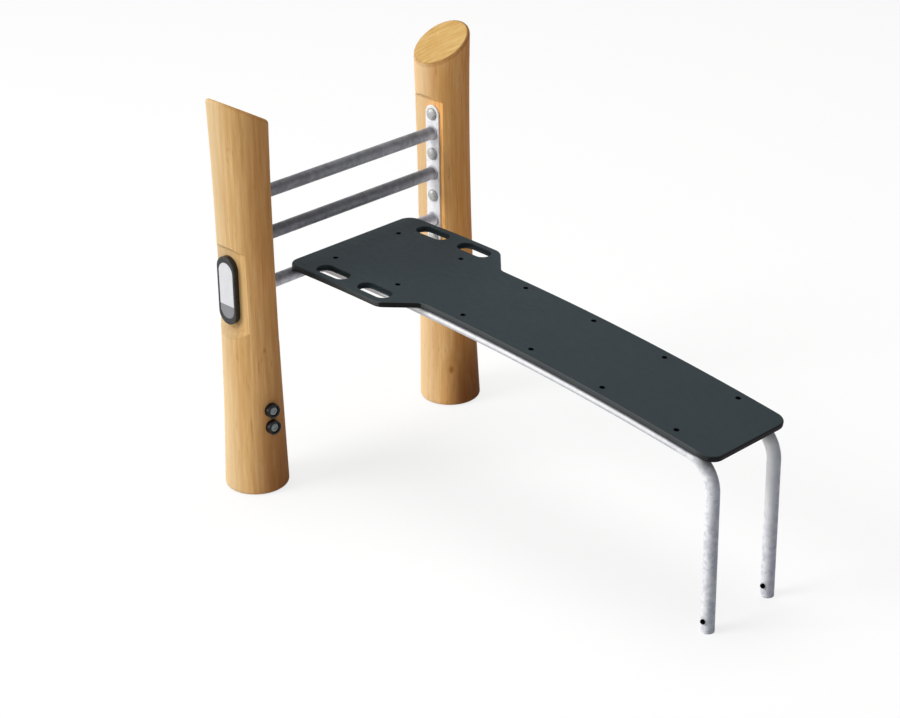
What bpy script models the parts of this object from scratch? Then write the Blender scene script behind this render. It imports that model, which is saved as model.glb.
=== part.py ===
"""Sit-up bench for an outdoor fitness trail.

Two round timber posts hold three tube rungs between them, welded to a bolted steel plate on each post.
Two bent steel tubes start at the lowest rung, run forward under a gentle arch and turn down into the front
legs. A curved panel, wide between the posts and narrow over the legs, is bolted to both tubes.

Lengths are metres and +Z is up. +X runs from the posts to the front legs and +Y to the far post. The bench
is drawn from the plane of the posts, and a parent empty then centres it over the origin.
"""

import math

import bmesh
import bpy
from mathutils import Matrix, Vector

# Fits shared by all pieces
CLEARANCE = 0.0003
OVERRUN = 0.012
MERGE_DISTANCE = 0.000002

# Timber posts
POST_SPACING = 0.7948
POST_TOP_HEIGHT = 1.1478
POST_TOP_SLOPE = math.radians(30)
POST_FOOT_RADIUS = 0.0934
POST_WAIST_RADIUS = 0.0794
POST_HEAD_RADIUS = 0.0839
POST_WAIST_HEIGHT = 0.770
POST_EDGE_ROUNDING = 0.0105
NEAR_POST_LEAN = -0.0046
NEAR_POST_BOW = 0.0027
FAR_POST_LEAN = -0.0180
FAR_POST_BOW = -0.0034
POST_RING_SHARES = (0, 0.13, 0.26, 0.39, 0.53, 0.67, 0.81, 0.945)
POST_SIDES = 32

# Flats sawn on the posts, measured in from the post's axis and past the ends of the plate and the sign
INNER_FLAT_SETBACK = 0.0559
INNER_FLAT_BELOW_PLATE = 0.068
INNER_FLAT_ABOVE_PLATE = 0.014
OUTER_FLAT_SETBACK = 0.0516
OUTER_FLAT_BELOW_SIGN = 0.0101
OUTER_FLAT_ABOVE_SIGN = 0.0176
FLAT_END_SLOPE = math.radians(40)

# Steel tube used for the rungs, the rails and the legs
TUBE_RADIUS = 0.019
TUBE_WALL = 0.0026
TUBE_SIDES = 20

# Rungs and the plates that carry them, with the plates and their bolts placed from the rungs
BOTTOM_RUNG_HEIGHT = 0.6073
MIDDLE_RUNG_RISE = 0.1495
TOP_RUNG_RISE = 0.1265
PLATE_LENGTH = 0.447
PLATE_WIDTH = 0.054
PLATE_THICKNESS = 0.005
PLATE_CENTRE_RISE = 0.1382
PLATE_EDGE_ROUNDING = 0.0008
PLATE_BOLT_OFFSETS = (-0.1965, -0.0615, 0.0715, 0.1965)

# Lag screws with domed heads that hold the plates to the posts
LAG_SHANK_RADIUS = 0.006
LAG_SHANK_LENGTH = 0.075
LAG_TIP_LENGTH = 0.010
LAG_HEAD_RADIUS = 0.0185
LAG_HEAD_HEIGHT = 0.0095
LAG_HEAD_RIM = 0.0030

# Bench panel, which reaches a little past the axis of the legs
BOARD_ARCH_RADIUS = 9.188
BOARD_THICKNESS = 0.018
BOARD_EDGE_ROUNDING = 0.005
BOARD_FRONT_REACH = 0.0143
BOARD_WIDE_WIDTH = 0.490
BOARD_NARROW_WIDTH = 0.314
BOARD_WIDE_LENGTH = 0.378
BOARD_CORNER_RADIUS = 0.040
BOARD_NECK_RADIUS = 0.030
BOARD_TAIL = 0.023
CROWN_REACH = 0.0146
BEND_STRIP_LENGTH = 0.065
EDGE_STEPS = 2

# Hand slots in the wide part of the panel, between the bolt pockets and the edge
SLOT_PLACES = (0.148, 0.3176)
SLOT_LENGTH = 0.119
SLOT_WIDTH = 0.053
SLOT_INNER_SHARE = 0.64754

# Rails under the panel that bend down into the legs
RAIL_SPACING = 0.250
RAIL_BEND_RADIUS = 0.093
LEG_REACH = 1.4777
RAIL_ARCH_STEPS = 11
RAIL_BEND_STEPS = 8

# Bolts that hold the panel to threaded bushes in the rails, evenly spread between the end margins
REAR_BOLT_MARGIN = 0.078
FRONT_BOLT_MARGIN = 0.1505
BOLTS_PER_RAIL = 6
BOLT_SHANK_RADIUS = 0.003
BOLT_SHANK_LENGTH = 0.024
BOLT_HEAD_RADIUS = 0.0054
BOLT_HEAD_HEIGHT = 0.004
BOLT_HEAD_SINK = 0.001
BOLT_POCKET_RADIUS = 0.006
BOLT_SOCKET_RADIUS = 0.0025
BOLT_SOCKET_DEPTH = 0.002
BUSH_RADIUS = 0.0058
BUSH_LENGTH = 0.014
BOLT_SIDES = 10

# Spigots that stand in the feet of the legs, and their cross bolts
SPIGOT_LENGTH = 0.080
SPIGOT_CHAMFER = 0.003
LEG_BOLT_HEIGHT = 0.0365
LEG_BOLT_SHANK_RADIUS = 0.004
LEG_BOLT_SHANK_LENGTH = 0.018
LEG_BOLT_HEAD_RADIUS = 0.0072
LEG_BOLT_HEAD_HEIGHT = 0.0075
LEG_BOLT_HEAD_RIM = 0.0035

# Sign on the near post's outer flat
SIGN_LENGTH = 0.2058
SIGN_WIDTH = 0.0734
SIGN_THICKNESS = 0.0162
SIGN_EDGE_ROUNDING = 0.002
SIGN_CENTRE_X = -0.0115
SIGN_CENTRE_HEIGHT = 0.625
SIGN_PANEL_LENGTH = 0.169
SIGN_PANEL_WIDTH = 0.0586
SIGN_PANEL_THICKNESS = 0.002
SIGN_PANEL_SINK = 0.0008
SIGN_SCREW_SPACING = 0.100
SIGN_SCREW_SHANK_RADIUS = 0.0025
SIGN_SCREW_SHANK_LENGTH = 0.045
SIGN_SCREW_TIP_LENGTH = 0.006
SIGN_SCREW_HEAD_RADIUS = 0.005
SIGN_SCREW_HEAD_HEIGHT = 0.003

# Capped bolts low on the near post
CUP_HEIGHTS = (0.212, 0.264)
CUP_BEARING = math.radians(-5)
CUP_RADIUS = 0.0215
CUP_RIM_RADIUS = 0.0195
CUP_STAND_OUT = 0.015
CUP_BORE_RADIUS = 0.0145
CUP_FLOOR = 0.008
CUP_BOLT_HEAD_RADIUS = 0.0125
CUP_BOLT_HEAD_HEIGHT = 0.0085
CUP_BOLT_HEAD_RIM = 0.0050
CUP_BOLT_SHANK_RADIUS = 0.006
CUP_BOLT_SHANK_LENGTH = 0.070
CUP_BOLT_TIP_LENGTH = 0.010

# Facets
FASTENER_SIDES = 12
CUP_SIDES = 16
CORNER_STEPS = 5
STADIUM_STEPS = 8
SMOOTH_ANGLE = math.radians(35)

# Places worked out from the sizes above
POST_Y = POST_SPACING / 2
PLATE_BACK_Y = POST_Y - INNER_FLAT_SETBACK - CLEARANCE
PLATE_FRONT_Y = PLATE_BACK_Y - PLATE_THICKNESS
RUNG_HALF_LENGTH = PLATE_FRONT_Y - CLEARANCE
MIDDLE_RUNG_HEIGHT = BOTTOM_RUNG_HEIGHT + MIDDLE_RUNG_RISE
TOP_RUNG_HEIGHT = MIDDLE_RUNG_HEIGHT + TOP_RUNG_RISE
PLATE_CENTRE_HEIGHT = BOTTOM_RUNG_HEIGHT + PLATE_CENTRE_RISE
PLATE_BOLT_HEIGHTS = tuple(PLATE_CENTRE_HEIGHT + offset for offset in PLATE_BOLT_OFFSETS)
INNER_FLAT_BOTTOM = PLATE_CENTRE_HEIGHT - PLATE_LENGTH / 2 - INNER_FLAT_BELOW_PLATE
INNER_FLAT_TOP = PLATE_CENTRE_HEIGHT + PLATE_LENGTH / 2 + INNER_FLAT_ABOVE_PLATE
RAIL_Y = RAIL_SPACING / 2
SLOT_ROOM = BOARD_WIDE_WIDTH / 2 - RAIL_Y - BOLT_POCKET_RADIUS - SLOT_WIDTH
SLOT_SPACING = RAIL_SPACING + 2 * (BOLT_POCKET_RADIUS + SLOT_INNER_SHARE * SLOT_ROOM) + SLOT_WIDTH
RAIL_DEPTH = BOARD_THICKNESS + CLEARANCE + TUBE_RADIUS
CROWN_HEIGHT = BOTTOM_RUNG_HEIGHT + RAIL_DEPTH
ARCH_CENTRE = Vector((CROWN_REACH, 0, CROWN_HEIGHT - BOARD_ARCH_RADIUS))
RAIL_ARCH_RADIUS = BOARD_ARCH_RADIUS - RAIL_DEPTH
RAIL_BEND_START = math.asin(
    (LEG_REACH - RAIL_BEND_RADIUS - CROWN_REACH) / (RAIL_ARCH_RADIUS - RAIL_BEND_RADIUS))
BOARD_LENGTH = BOARD_TAIL + LEG_REACH + BOARD_FRONT_REACH
BOLT_PITCH = (BOARD_LENGTH - REAR_BOLT_MARGIN - FRONT_BOLT_MARGIN) / (BOLTS_PER_RAIL - 1)
BOLT_PLACES = tuple(REAR_BOLT_MARGIN + BOLT_PITCH * i for i in range(BOLTS_PER_RAIL))
OUTER_FLAT_BOTTOM = SIGN_CENTRE_HEIGHT - SIGN_LENGTH / 2 - OUTER_FLAT_BELOW_SIGN
OUTER_FLAT_TOP = SIGN_CENTRE_HEIGHT + SIGN_LENGTH / 2 + OUTER_FLAT_ABOVE_SIGN
SIGN_BACK_Y = -(POST_Y + OUTER_FLAT_SETBACK + CLEARANCE)

NEAR = -1
FAR = 1
SIDE_NAMES = {NEAR: "near", FAR: "far"}
RUNG_HEIGHTS = {
    "top_rung": TOP_RUNG_HEIGHT,
    "middle_rung": MIDDLE_RUNG_HEIGHT,
    "bottom_rung": BOTTOM_RUNG_HEIGHT,
}


def clear_scene():
    """Remove whatever the file starts with."""
    for item in list(bpy.data.objects):
        bpy.data.objects.remove(item, do_unlink=True)


def make_material(name, colour, roughness, metallic):
    """A plain finish with the piece's colour, roughness and metal share."""
    material = bpy.data.materials.new(name)
    material.use_nodes = True
    shader = material.node_tree.nodes["Principled BSDF"]
    shader.inputs["Base Color"].default_value = (*colour, 1)
    shader.inputs["Roughness"].default_value = roughness
    shader.inputs["Metallic"].default_value = metallic
    material.diffuse_color = (*colour, 1)
    return material


def mesh_from(bm, name):
    """Turn a bmesh into a mesh with outward faces and free the bmesh."""
    bmesh.ops.remove_doubles(bm, verts=bm.verts, dist=MERGE_DISTANCE)
    bmesh.ops.recalc_face_normals(bm, faces=bm.faces)
    mesh = bpy.data.meshes.new(name)
    bm.to_mesh(mesh)
    bm.free()
    return mesh


def subtract(body, cutter):
    """Cut one closed mesh out of another and return the mesh that is left."""
    cut_name = body.name
    target = bpy.data.objects.new("cut_target", body)
    tool = bpy.data.objects.new("cut_tool", cutter)
    for item in (target, tool):
        bpy.context.collection.objects.link(item)
    modifier = target.modifiers.new("cut", 'BOOLEAN')
    modifier.operation = 'DIFFERENCE'
    modifier.solver = 'EXACT'
    modifier.object = tool
    evaluated = target.evaluated_get(bpy.context.evaluated_depsgraph_get())
    result = bpy.data.meshes.new_from_object(evaluated)
    for item in (target, tool):
        bpy.data.objects.remove(item, do_unlink=True)
    for used in (body, cutter):
        bpy.data.meshes.remove(used)
    result.name = cut_name
    return result


def add_piece(name, mesh, material, parent, place=None):
    """Add a named piece to the scene, shaded smooth between its sharp edges."""
    mesh.materials.clear()
    mesh.materials.append(material)
    mesh.shade_smooth()
    mesh.set_sharp_from_angle(angle=SMOOTH_ANGLE)
    piece = bpy.data.objects.new(name, mesh)
    bpy.context.collection.objects.link(piece)
    piece.parent = parent
    if place is not None:
        piece.matrix_basis = place
    return piece


def along(direction, at):
    """A placing matrix whose local +Z points along a direction."""
    turn = Vector(direction).to_track_quat('Z', 'Y').to_matrix().to_4x4()
    return Matrix.Translation(at) @ turn


def turn_profile(bm, profile, sides, closed=False, place=None):
    """Spin (radius, height) points about +Z, closing the profile on itself where it forms a ring."""
    made = [bm.verts.new((radius, 0, height)) for radius, height in profile]
    edges = [bm.edges.new(pair) for pair in zip(made, made[1:])]
    if closed:
        edges.append(bm.edges.new((made[-1], made[0])))
    before = set(bm.verts) - set(made)
    bmesh.ops.spin(bm, geom=made + edges, cent=(0, 0, 0), axis=(0, 0, 1), angle=math.tau,
                   steps=sides, use_merge=True)
    if place is not None:
        new = [vert for vert in bm.verts if vert not in before]
        bmesh.ops.transform(bm, matrix=place, verts=new)


def stack_outlines(bm, outlines, place=None):
    """Join outlines of equal count, lowest first, and close both ends."""
    loops = [[bm.verts.new(point) for point in outline] for outline in outlines]
    for low, high in zip(loops, loops[1:]):
        for i in range(len(low)):
            bm.faces.new((low[i - 1], low[i], high[i], high[i - 1]))
    bm.faces.new(list(reversed(loops[0])))
    bm.faces.new(loops[-1])
    if place is not None:
        bmesh.ops.transform(bm, matrix=place, verts=[vert for loop in loops for vert in loop])
    bm.normal_update()


def rounded_outline(corners, steps):
    """Points of a polygon of (x, y, radius) corners, each corner an arc of that many steps."""
    points = []
    for i, (x, y, radius) in enumerate(corners):
        corner = Vector((x, y))
        back = (Vector(corners[i - 1][:2]) - corner).normalized()
        ahead = (Vector(corners[(i + 1) % len(corners)][:2]) - corner).normalized()
        half = back.angle(ahead) / 2
        centre = corner + (back + ahead).normalized() * (radius / math.sin(half))
        start = corner + back * (radius / math.tan(half)) - centre
        turn = (corner + ahead * (radius / math.tan(half)) - centre).angle_signed(start)
        for k in range(steps + 1):
            spoke = Matrix.Rotation(turn * k / steps, 2) @ start
            points.append(centre + spoke)
    return points


def stadium(length, width, height):
    """A round-ended outline along X at one height, anticlockwise seen from above."""
    radius = width / 2
    shift = length / 2 - radius
    points = []
    for end in (1, -1):
        for k in range(STADIUM_STEPS + 1):
            angle = math.pi * (k / STADIUM_STEPS - 1 / 2)
            points.append((end * (shift + radius * math.cos(angle)), end * radius * math.sin(angle), height))
    return points


def screw_profile(shank_radius, shank_length, tip_length, head_radius, head_height, head_rim):
    """Profile of a pointed screw with a domed head, its head standing on height zero."""
    dome = [
        (head_radius * math.cos(angle), head_rim + (head_height - head_rim) * math.sin(angle))
        for angle in (0, math.radians(30), math.radians(60))
    ]
    return [
        (0, -shank_length),
        (shank_radius, tip_length - shank_length),
        (shank_radius, 0),
        (head_radius, 0),
        *dome,
        (0, head_height),
    ]


def bore_profile(shank_radius, shank_length, tip_length):
    """Profile of the hole that a pointed screw leaves, open above height zero."""
    radius = shank_radius + CLEARANCE
    return [
        (0, -shank_length - CLEARANCE),
        (radius, tip_length - shank_length - CLEARANCE),
        (radius, OVERRUN),
        (0, OVERRUN),
    ]


def post_radius(height):
    """Radius of a post: a waist that swells towards the foot and the head."""
    if height < POST_WAIST_HEIGHT:
        share = (POST_WAIST_HEIGHT - height) / POST_WAIST_HEIGHT
        return POST_WAIST_RADIUS + (POST_FOOT_RADIUS - POST_WAIST_RADIUS) * share ** 2
    share = (height - POST_WAIST_HEIGHT) / (POST_TOP_HEIGHT - POST_WAIST_HEIGHT)
    return POST_WAIST_RADIUS + (POST_HEAD_RADIUS - POST_WAIST_RADIUS) * share ** 2


def post_axis_x(side, height):
    """How far a post's axis lies ahead of its foot: a lean plus a bow that is widest half way up."""
    lean, bow = (NEAR_POST_LEAN, NEAR_POST_BOW) if side == NEAR else (FAR_POST_LEAN, FAR_POST_BOW)
    share = height / POST_TOP_HEIGHT
    return lean * share + 4 * bow * share * (1 - share)


def post_rear(side):
    """Furthest point of a post behind the plane of the posts."""
    heights = (POST_EDGE_ROUNDING, POST_TOP_HEIGHT - POST_EDGE_ROUNDING)
    return min(post_axis_x(side, height) - post_radius(height) for height in heights)


def arch_frame(place_along, across):
    """Frame on the panel's top face, that far from its rear edge, with +Z square to the face."""
    angle = (place_along - BOARD_TAIL) / BOARD_ARCH_RADIUS
    turn = Matrix.Rotation(angle, 4, 'Y')
    reach = turn @ Vector((0, 0, BOARD_ARCH_RADIUS))
    return Matrix.Translation(ARCH_CENTRE + reach + Vector((0, across, 0))) @ turn


def lag_frame(side, height):
    """Frame of a plate bolt, its head towards the middle of the bench."""
    return along((0, -side, 0), (0, side * (PLATE_FRONT_Y - CLEARANCE), height))


def cup_frame(height):
    """Frame of a cup's seat, sawn just deep enough into the round post for the whole cup."""
    outward = Vector((math.cos(CUP_BEARING), math.sin(CUP_BEARING), 0))
    axis = Vector((post_axis_x(NEAR, height), -POST_Y, height))
    seat = math.sqrt(post_radius(height) ** 2 - CUP_RADIUS ** 2)
    return along(outward, axis + outward * seat)


def cup_height_of(height):
    """Whole height of a cup from its seat, part of it sunk below the round face."""
    radius = post_radius(height)
    return CUP_STAND_OUT + radius - math.sqrt(radius ** 2 - CUP_RADIUS ** 2)


def sign_frame(offset_up=0):
    """Frame on the sign's back, +Z out of the post and +X up the post."""
    across = Matrix.Rotation(math.radians(90), 4, 'X')
    upright = Matrix.Rotation(math.radians(90), 4, 'Z')
    at = (SIGN_CENTRE_X, SIGN_BACK_Y, SIGN_CENTRE_HEIGHT + offset_up)
    return Matrix.Translation(at) @ across @ upright


def raw_post(side):
    """A post before its flats and holes: swelling, leaning, sawn aslant and with rounded rims."""
    bm = bmesh.new()
    slope_rise = math.tan(POST_TOP_SLOPE) * POST_HEAD_RADIUS
    heights = [POST_TOP_HEIGHT * share for share in POST_RING_SHARES]
    heights.append(POST_TOP_HEIGHT + slope_rise + 2 * OVERRUN)
    outlines = []
    for height in heights:
        radius = post_radius(height)
        centre_x = post_axis_x(side, height)
        angles = [math.tau * k / POST_SIDES for k in range(POST_SIDES)]
        outlines.append([
            (centre_x + radius * math.cos(angle), side * POST_Y + radius * math.sin(angle), height)
            for angle in angles
        ])
    stack_outlines(bm, outlines)
    top = (post_axis_x(side, POST_TOP_HEIGHT), side * POST_Y, POST_TOP_HEIGHT)
    normal = (0, -side * math.sin(POST_TOP_SLOPE), math.cos(POST_TOP_SLOPE))
    bmesh.ops.bisect_plane(bm, geom=bm.verts[:] + bm.edges[:] + bm.faces[:], dist=MERGE_DISTANCE,
                           plane_co=top, plane_no=normal, clear_outer=True)
    rim = [edge for edge in bm.edges if edge.is_boundary]
    bmesh.ops.edgeloop_fill(bm, edges=rim)
    foot = [edge for edge in bm.edges if max(vert.co.z for vert in edge.verts) < MERGE_DISTANCE]
    bmesh.ops.bevel(bm, geom=rim + foot, offset=POST_EDGE_ROUNDING * math.sqrt(2), offset_type='WIDTH',
                    segments=EDGE_STEPS + 1, profile=0.5, affect='EDGES', material=-1)
    return mesh_from(bm, SIDE_NAMES[side] + "_post")


def flat_cutter(facing, flat_y, bottom, top):
    """A flat sawn into a post's side at flat_y, with ends that slope out to the round face."""
    bm = bmesh.new()
    reach = POST_FOOT_RADIUS + OVERRUN
    outside_y = flat_y + facing * reach
    spread = math.tan(FLAT_END_SLOPE) * reach
    section = [(flat_y, bottom), (outside_y, bottom - spread), (outside_y, top + spread), (flat_y, top)]
    stack_outlines(bm, [[(x, y, z) for y, z in section] for x in (-reach, reach)])
    return mesh_from(bm, "post_flat")


def post_bores(side):
    """Bores for the plate bolts and, in the near post, for the cups and the sign."""
    bm = bmesh.new()
    for height in PLATE_BOLT_HEIGHTS:
        turn_profile(bm, bore_profile(LAG_SHANK_RADIUS, LAG_SHANK_LENGTH, LAG_TIP_LENGTH), FASTENER_SIDES,
                     place=lag_frame(side, height))
    if side == NEAR:
        for height in CUP_HEIGHTS:
            tip, wall, *_ = bore_profile(CUP_BOLT_SHANK_RADIUS, cup_bolt_reach(), CUP_BOLT_TIP_LENGTH)
            seat_radius = CUP_RADIUS + CLEARANCE
            stepped = [tip, wall, (wall[0], 0), (seat_radius, 0), (seat_radius, OVERRUN), (0, OVERRUN)]
            turn_profile(bm, stepped, CUP_SIDES, place=cup_frame(height))
        for offset in (-SIGN_SCREW_SPACING / 2, SIGN_SCREW_SPACING / 2):
            turn_profile(bm, bore_profile(SIGN_SCREW_SHANK_RADIUS, sign_screw_reach(), SIGN_SCREW_TIP_LENGTH),
                         FASTENER_SIDES, place=sign_frame(offset))
    return mesh_from(bm, "post_bores")


def cup_bolt_reach():
    """How far a cup's bolt goes into the post below the cup's seat."""
    return CUP_BOLT_SHANK_LENGTH - CUP_FLOOR - CLEARANCE


def sign_screw_seat():
    """Height of the sign screws' heads above the sign's back."""
    return (SIGN_THICKNESS - SIGN_PANEL_SINK - SIGN_PANEL_THICKNESS - CLEARANCE
            - SIGN_SCREW_HEAD_HEIGHT - CLEARANCE)


def sign_screw_reach():
    """How far a sign screw goes into the post below the sign's back."""
    return SIGN_SCREW_SHANK_LENGTH - sign_screw_seat()


def build_posts(parent, timber):
    """Both posts with their flats and bores."""
    for side, name in SIDE_NAMES.items():
        inner_y = side * (POST_Y - INNER_FLAT_SETBACK)
        mesh = subtract(raw_post(side), flat_cutter(-side, inner_y, INNER_FLAT_BOTTOM, INNER_FLAT_TOP))
        if side == NEAR:
            outer_y = side * (POST_Y + OUTER_FLAT_SETBACK)
            mesh = subtract(mesh, flat_cutter(side, outer_y, OUTER_FLAT_BOTTOM, OUTER_FLAT_TOP))
        mesh = subtract(mesh, post_bores(side))
        add_piece(name + "_post", mesh, timber, parent)


def build_plates(parent, steel):
    """Round-ended plates bolted to the inner flats."""
    for side, name in SIDE_NAMES.items():
        bm = bmesh.new()
        narrowed = 2 * PLATE_EDGE_ROUNDING
        outlines = [
            stadium(PLATE_LENGTH - narrowed, PLATE_WIDTH - narrowed, 0),
            stadium(PLATE_LENGTH, PLATE_WIDTH, PLATE_EDGE_ROUNDING),
            stadium(PLATE_LENGTH, PLATE_WIDTH, PLATE_THICKNESS - PLATE_EDGE_ROUNDING),
            stadium(PLATE_LENGTH - narrowed, PLATE_WIDTH - narrowed, PLATE_THICKNESS),
        ]
        stand = along((0, -side, 0), (0, side * PLATE_BACK_Y, PLATE_CENTRE_HEIGHT))
        lengthwise = Matrix.Rotation(math.radians(90), 4, 'Z')
        stack_outlines(bm, outlines, place=stand @ lengthwise)
        plate = mesh_from(bm, name + "_rung_plate")
        holes = bmesh.new()
        radius = LAG_SHANK_RADIUS + CLEARANCE
        for height in PLATE_BOLT_HEIGHTS:
            turn_profile(holes, [(0, -OVERRUN), (radius, -OVERRUN), (radius, OVERRUN), (0, OVERRUN)],
                         FASTENER_SIDES, place=lag_frame(side, height))
        mesh = subtract(plate, mesh_from(holes, "plate_holes"))
        add_piece(name + "_rung_plate", mesh, steel, parent)


def start_tube(bm, place):
    """The annular end face of a tube: a disc inset by the wall, without its middle."""
    bmesh.ops.create_circle(bm, cap_ends=True, segments=TUBE_SIDES, radius=TUBE_RADIUS, matrix=place)
    disc = bm.faces[:]
    bmesh.ops.inset_region(bm, faces=disc, thickness=TUBE_WALL, use_boundary=True, use_even_offset=True)
    bmesh.ops.delete(bm, geom=disc, context='FACES')
    return bm.verts[:] + bm.edges[:] + bm.faces[:]


def run_straight(bm, end, travel):
    """Lengthen a tube from its end face."""
    grown = bmesh.ops.extrude_face_region(bm, geom=end)["geom"]
    moved = [item for item in grown if isinstance(item, bmesh.types.BMVert)]
    bmesh.ops.translate(bm, vec=travel, verts=moved)


def build_rungs(parent, steel):
    """Three straight tubes between the plates."""
    for name, height in RUNG_HEIGHTS.items():
        bm = bmesh.new()
        end = start_tube(bm, along((0, 1, 0), (0, -RUNG_HALF_LENGTH, height)))
        run_straight(bm, end, (0, 2 * RUNG_HALF_LENGTH, 0))
        add_piece(name, mesh_from(bm, name), steel, parent)


def raw_rail(across):
    """One tube under the panel, from the lowest rung's axis along the arch, round the bend and down."""
    bm = bmesh.new()
    start_angle = math.asin(-CROWN_REACH / RAIL_ARCH_RADIUS)
    turn = Matrix.Rotation(start_angle, 4, 'Y')
    start = ARCH_CENTRE + turn @ Vector((0, 0, RAIL_ARCH_RADIUS)) + Vector((0, across, 0))
    section = Matrix.Translation(start) @ turn @ Matrix.Rotation(math.radians(90), 4, 'Y')
    end = start_tube(bm, section)
    end = bmesh.ops.spin(bm, geom=end, cent=ARCH_CENTRE, axis=(0, 1, 0),
                         angle=RAIL_BEND_START - start_angle, steps=RAIL_ARCH_STEPS)["geom_last"]
    bend_turn = Matrix.Rotation(RAIL_BEND_START, 4, 'Y')
    bend_centre = ARCH_CENTRE + bend_turn @ Vector((0, 0, RAIL_ARCH_RADIUS - RAIL_BEND_RADIUS))
    end = bmesh.ops.spin(bm, geom=end, cent=bend_centre, axis=(0, 1, 0),
                         angle=math.radians(90) - RAIL_BEND_START, steps=RAIL_BEND_STEPS)["geom_last"]
    run_straight(bm, end, (0, 0, -bend_centre.z))
    return mesh_from(bm, "rail")


def rail_cutter(across):
    """The saddle cut over the lowest rung and the holes for bushes and the leg bolt."""
    bm = bmesh.new()
    saddle = TUBE_RADIUS + CLEARANCE
    half = TUBE_RADIUS + OVERRUN
    turn_profile(bm, [(0, -half), (saddle, -half), (saddle, half), (0, half)], TUBE_SIDES,
                 place=along((0, 1, 0), (0, across, BOTTOM_RUNG_HEIGHT)))
    radius = BUSH_RADIUS + CLEARANCE
    low = -BOARD_THICKNESS - BUSH_LENGTH
    for place in BOLT_PLACES:
        turn_profile(bm, [(0, low), (radius, low), (radius, 0), (0, 0)], BOLT_SIDES,
                     place=arch_frame(place, across))
    radius = LEG_BOLT_SHANK_RADIUS + CLEARANCE
    turn_profile(bm, [(0, -TUBE_RADIUS), (radius, -TUBE_RADIUS), (radius, OVERRUN), (0, OVERRUN)],
                 FASTENER_SIDES, place=leg_bolt_frame(across))
    return mesh_from(bm, "rail_holes")


def leg_bolt_frame(across):
    """Frame of a leg bolt's head seat on the leg's near side."""
    return along((0, -1, 0), (LEG_REACH, across - TUBE_RADIUS - CLEARANCE, LEG_BOLT_HEIGHT))


def build_rails(parent, steel):
    """Both rails, saddled on the lowest rung."""
    for side, name in SIDE_NAMES.items():
        across = side * RAIL_Y
        mesh = subtract(raw_rail(across), rail_cutter(across))
        add_piece(name + "_bench_tube", mesh, steel, parent)


def flat_board():
    """The panel before it is bent: its outline from the rear edge, its top face at height zero."""
    wide = BOARD_WIDE_WIDTH / 2
    narrow = BOARD_NARROW_WIDTH / 2
    neck = BOARD_WIDE_LENGTH + wide - narrow
    half = [
        (BOARD_LENGTH, narrow, BOARD_CORNER_RADIUS),
        (neck, narrow, BOARD_NECK_RADIUS),
        (BOARD_WIDE_LENGTH, wide, BOARD_CORNER_RADIUS),
        (0, wide, BOARD_CORNER_RADIUS),
    ]
    corners = half + [(x, -y, radius) for x, y, radius in reversed(half)]
    outline = rounded_outline(corners, CORNER_STEPS)
    bm = bmesh.new()
    levels = (-BOARD_THICKNESS, 0)
    stack_outlines(bm, [[(point.x, point.y, level) for point in outline] for level in levels])
    rims = [edge for edge in bm.edges if edge.verts[0].co.z == edge.verts[1].co.z]
    bmesh.ops.bevel(bm, geom=rims, offset=BOARD_EDGE_ROUNDING, offset_type='OFFSET', segments=EDGE_STEPS,
                    profile=0.5, affect='EDGES', material=-1)
    return mesh_from(bm, "bench_board")


def slot_cutter(bm, place_along, across):
    """One hand slot with rounded-over rims on both faces."""
    flares = [
        (BOARD_EDGE_ROUNDING * (1 - math.sin(angle)), BOARD_EDGE_ROUNDING * (1 - math.cos(angle)))
        for angle in (math.radians(90) * k / EDGE_STEPS for k in range(EDGE_STEPS + 1))
    ]
    levels = [(BOARD_EDGE_ROUNDING, OVERRUN)]
    levels += [(wider, -deeper) for wider, deeper in flares]
    levels += [(wider, deeper - BOARD_THICKNESS) for wider, deeper in reversed(flares)]
    levels.append((BOARD_EDGE_ROUNDING, -BOARD_THICKNESS - OVERRUN))
    outlines = [
        stadium(SLOT_LENGTH + 2 * wider, SLOT_WIDTH + 2 * wider, level) for wider, level in reversed(levels)
    ]
    stack_outlines(bm, outlines, place=Matrix.Translation((place_along, across, 0)))


def board_cutter():
    """Hand slots and stepped bolt holes of the flat panel."""
    bm = bmesh.new()
    for place_along in SLOT_PLACES:
        for across in (-SLOT_SPACING / 2, SLOT_SPACING / 2):
            slot_cutter(bm, place_along, across)
    ledge = -BOLT_HEAD_SINK - BOLT_HEAD_HEIGHT - CLEARANCE
    shank = BOLT_SHANK_RADIUS + CLEARANCE
    low = -BOARD_THICKNESS - OVERRUN
    profile = [(0, low), (shank, low), (shank, ledge), (BOLT_POCKET_RADIUS, ledge),
               (BOLT_POCKET_RADIUS, OVERRUN), (0, OVERRUN)]
    for place_along in BOLT_PLACES:
        for across in (-RAIL_Y, RAIL_Y):
            turn_profile(bm, profile, BOLT_SIDES, place=Matrix.Translation((place_along, across, 0)))
    return mesh_from(bm, "board_holes")


def build_board(parent, panel):
    """The bench panel, cut flat, split into strips and bent over the arch."""
    flat = subtract(flat_board(), board_cutter())
    bm = bmesh.new()
    bm.from_mesh(flat)
    strips = round(BOARD_LENGTH / BEND_STRIP_LENGTH)
    for k in range(1, strips):
        bmesh.ops.bisect_plane(bm, geom=bm.verts[:] + bm.edges[:] + bm.faces[:], dist=MERGE_DISTANCE,
                               plane_co=(BOARD_LENGTH * k / strips, 0, 0), plane_no=(1, 0, 0))
    bmesh.ops.triangulate(bm, faces=bm.faces[:])
    for vert in bm.verts:
        vert.co = arch_frame(vert.co.x, vert.co.y) @ Vector((0, 0, vert.co.z))
    bpy.data.meshes.remove(flat)
    add_piece("bench_board", mesh_from(bm, "bench_board"), panel, parent)


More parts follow.
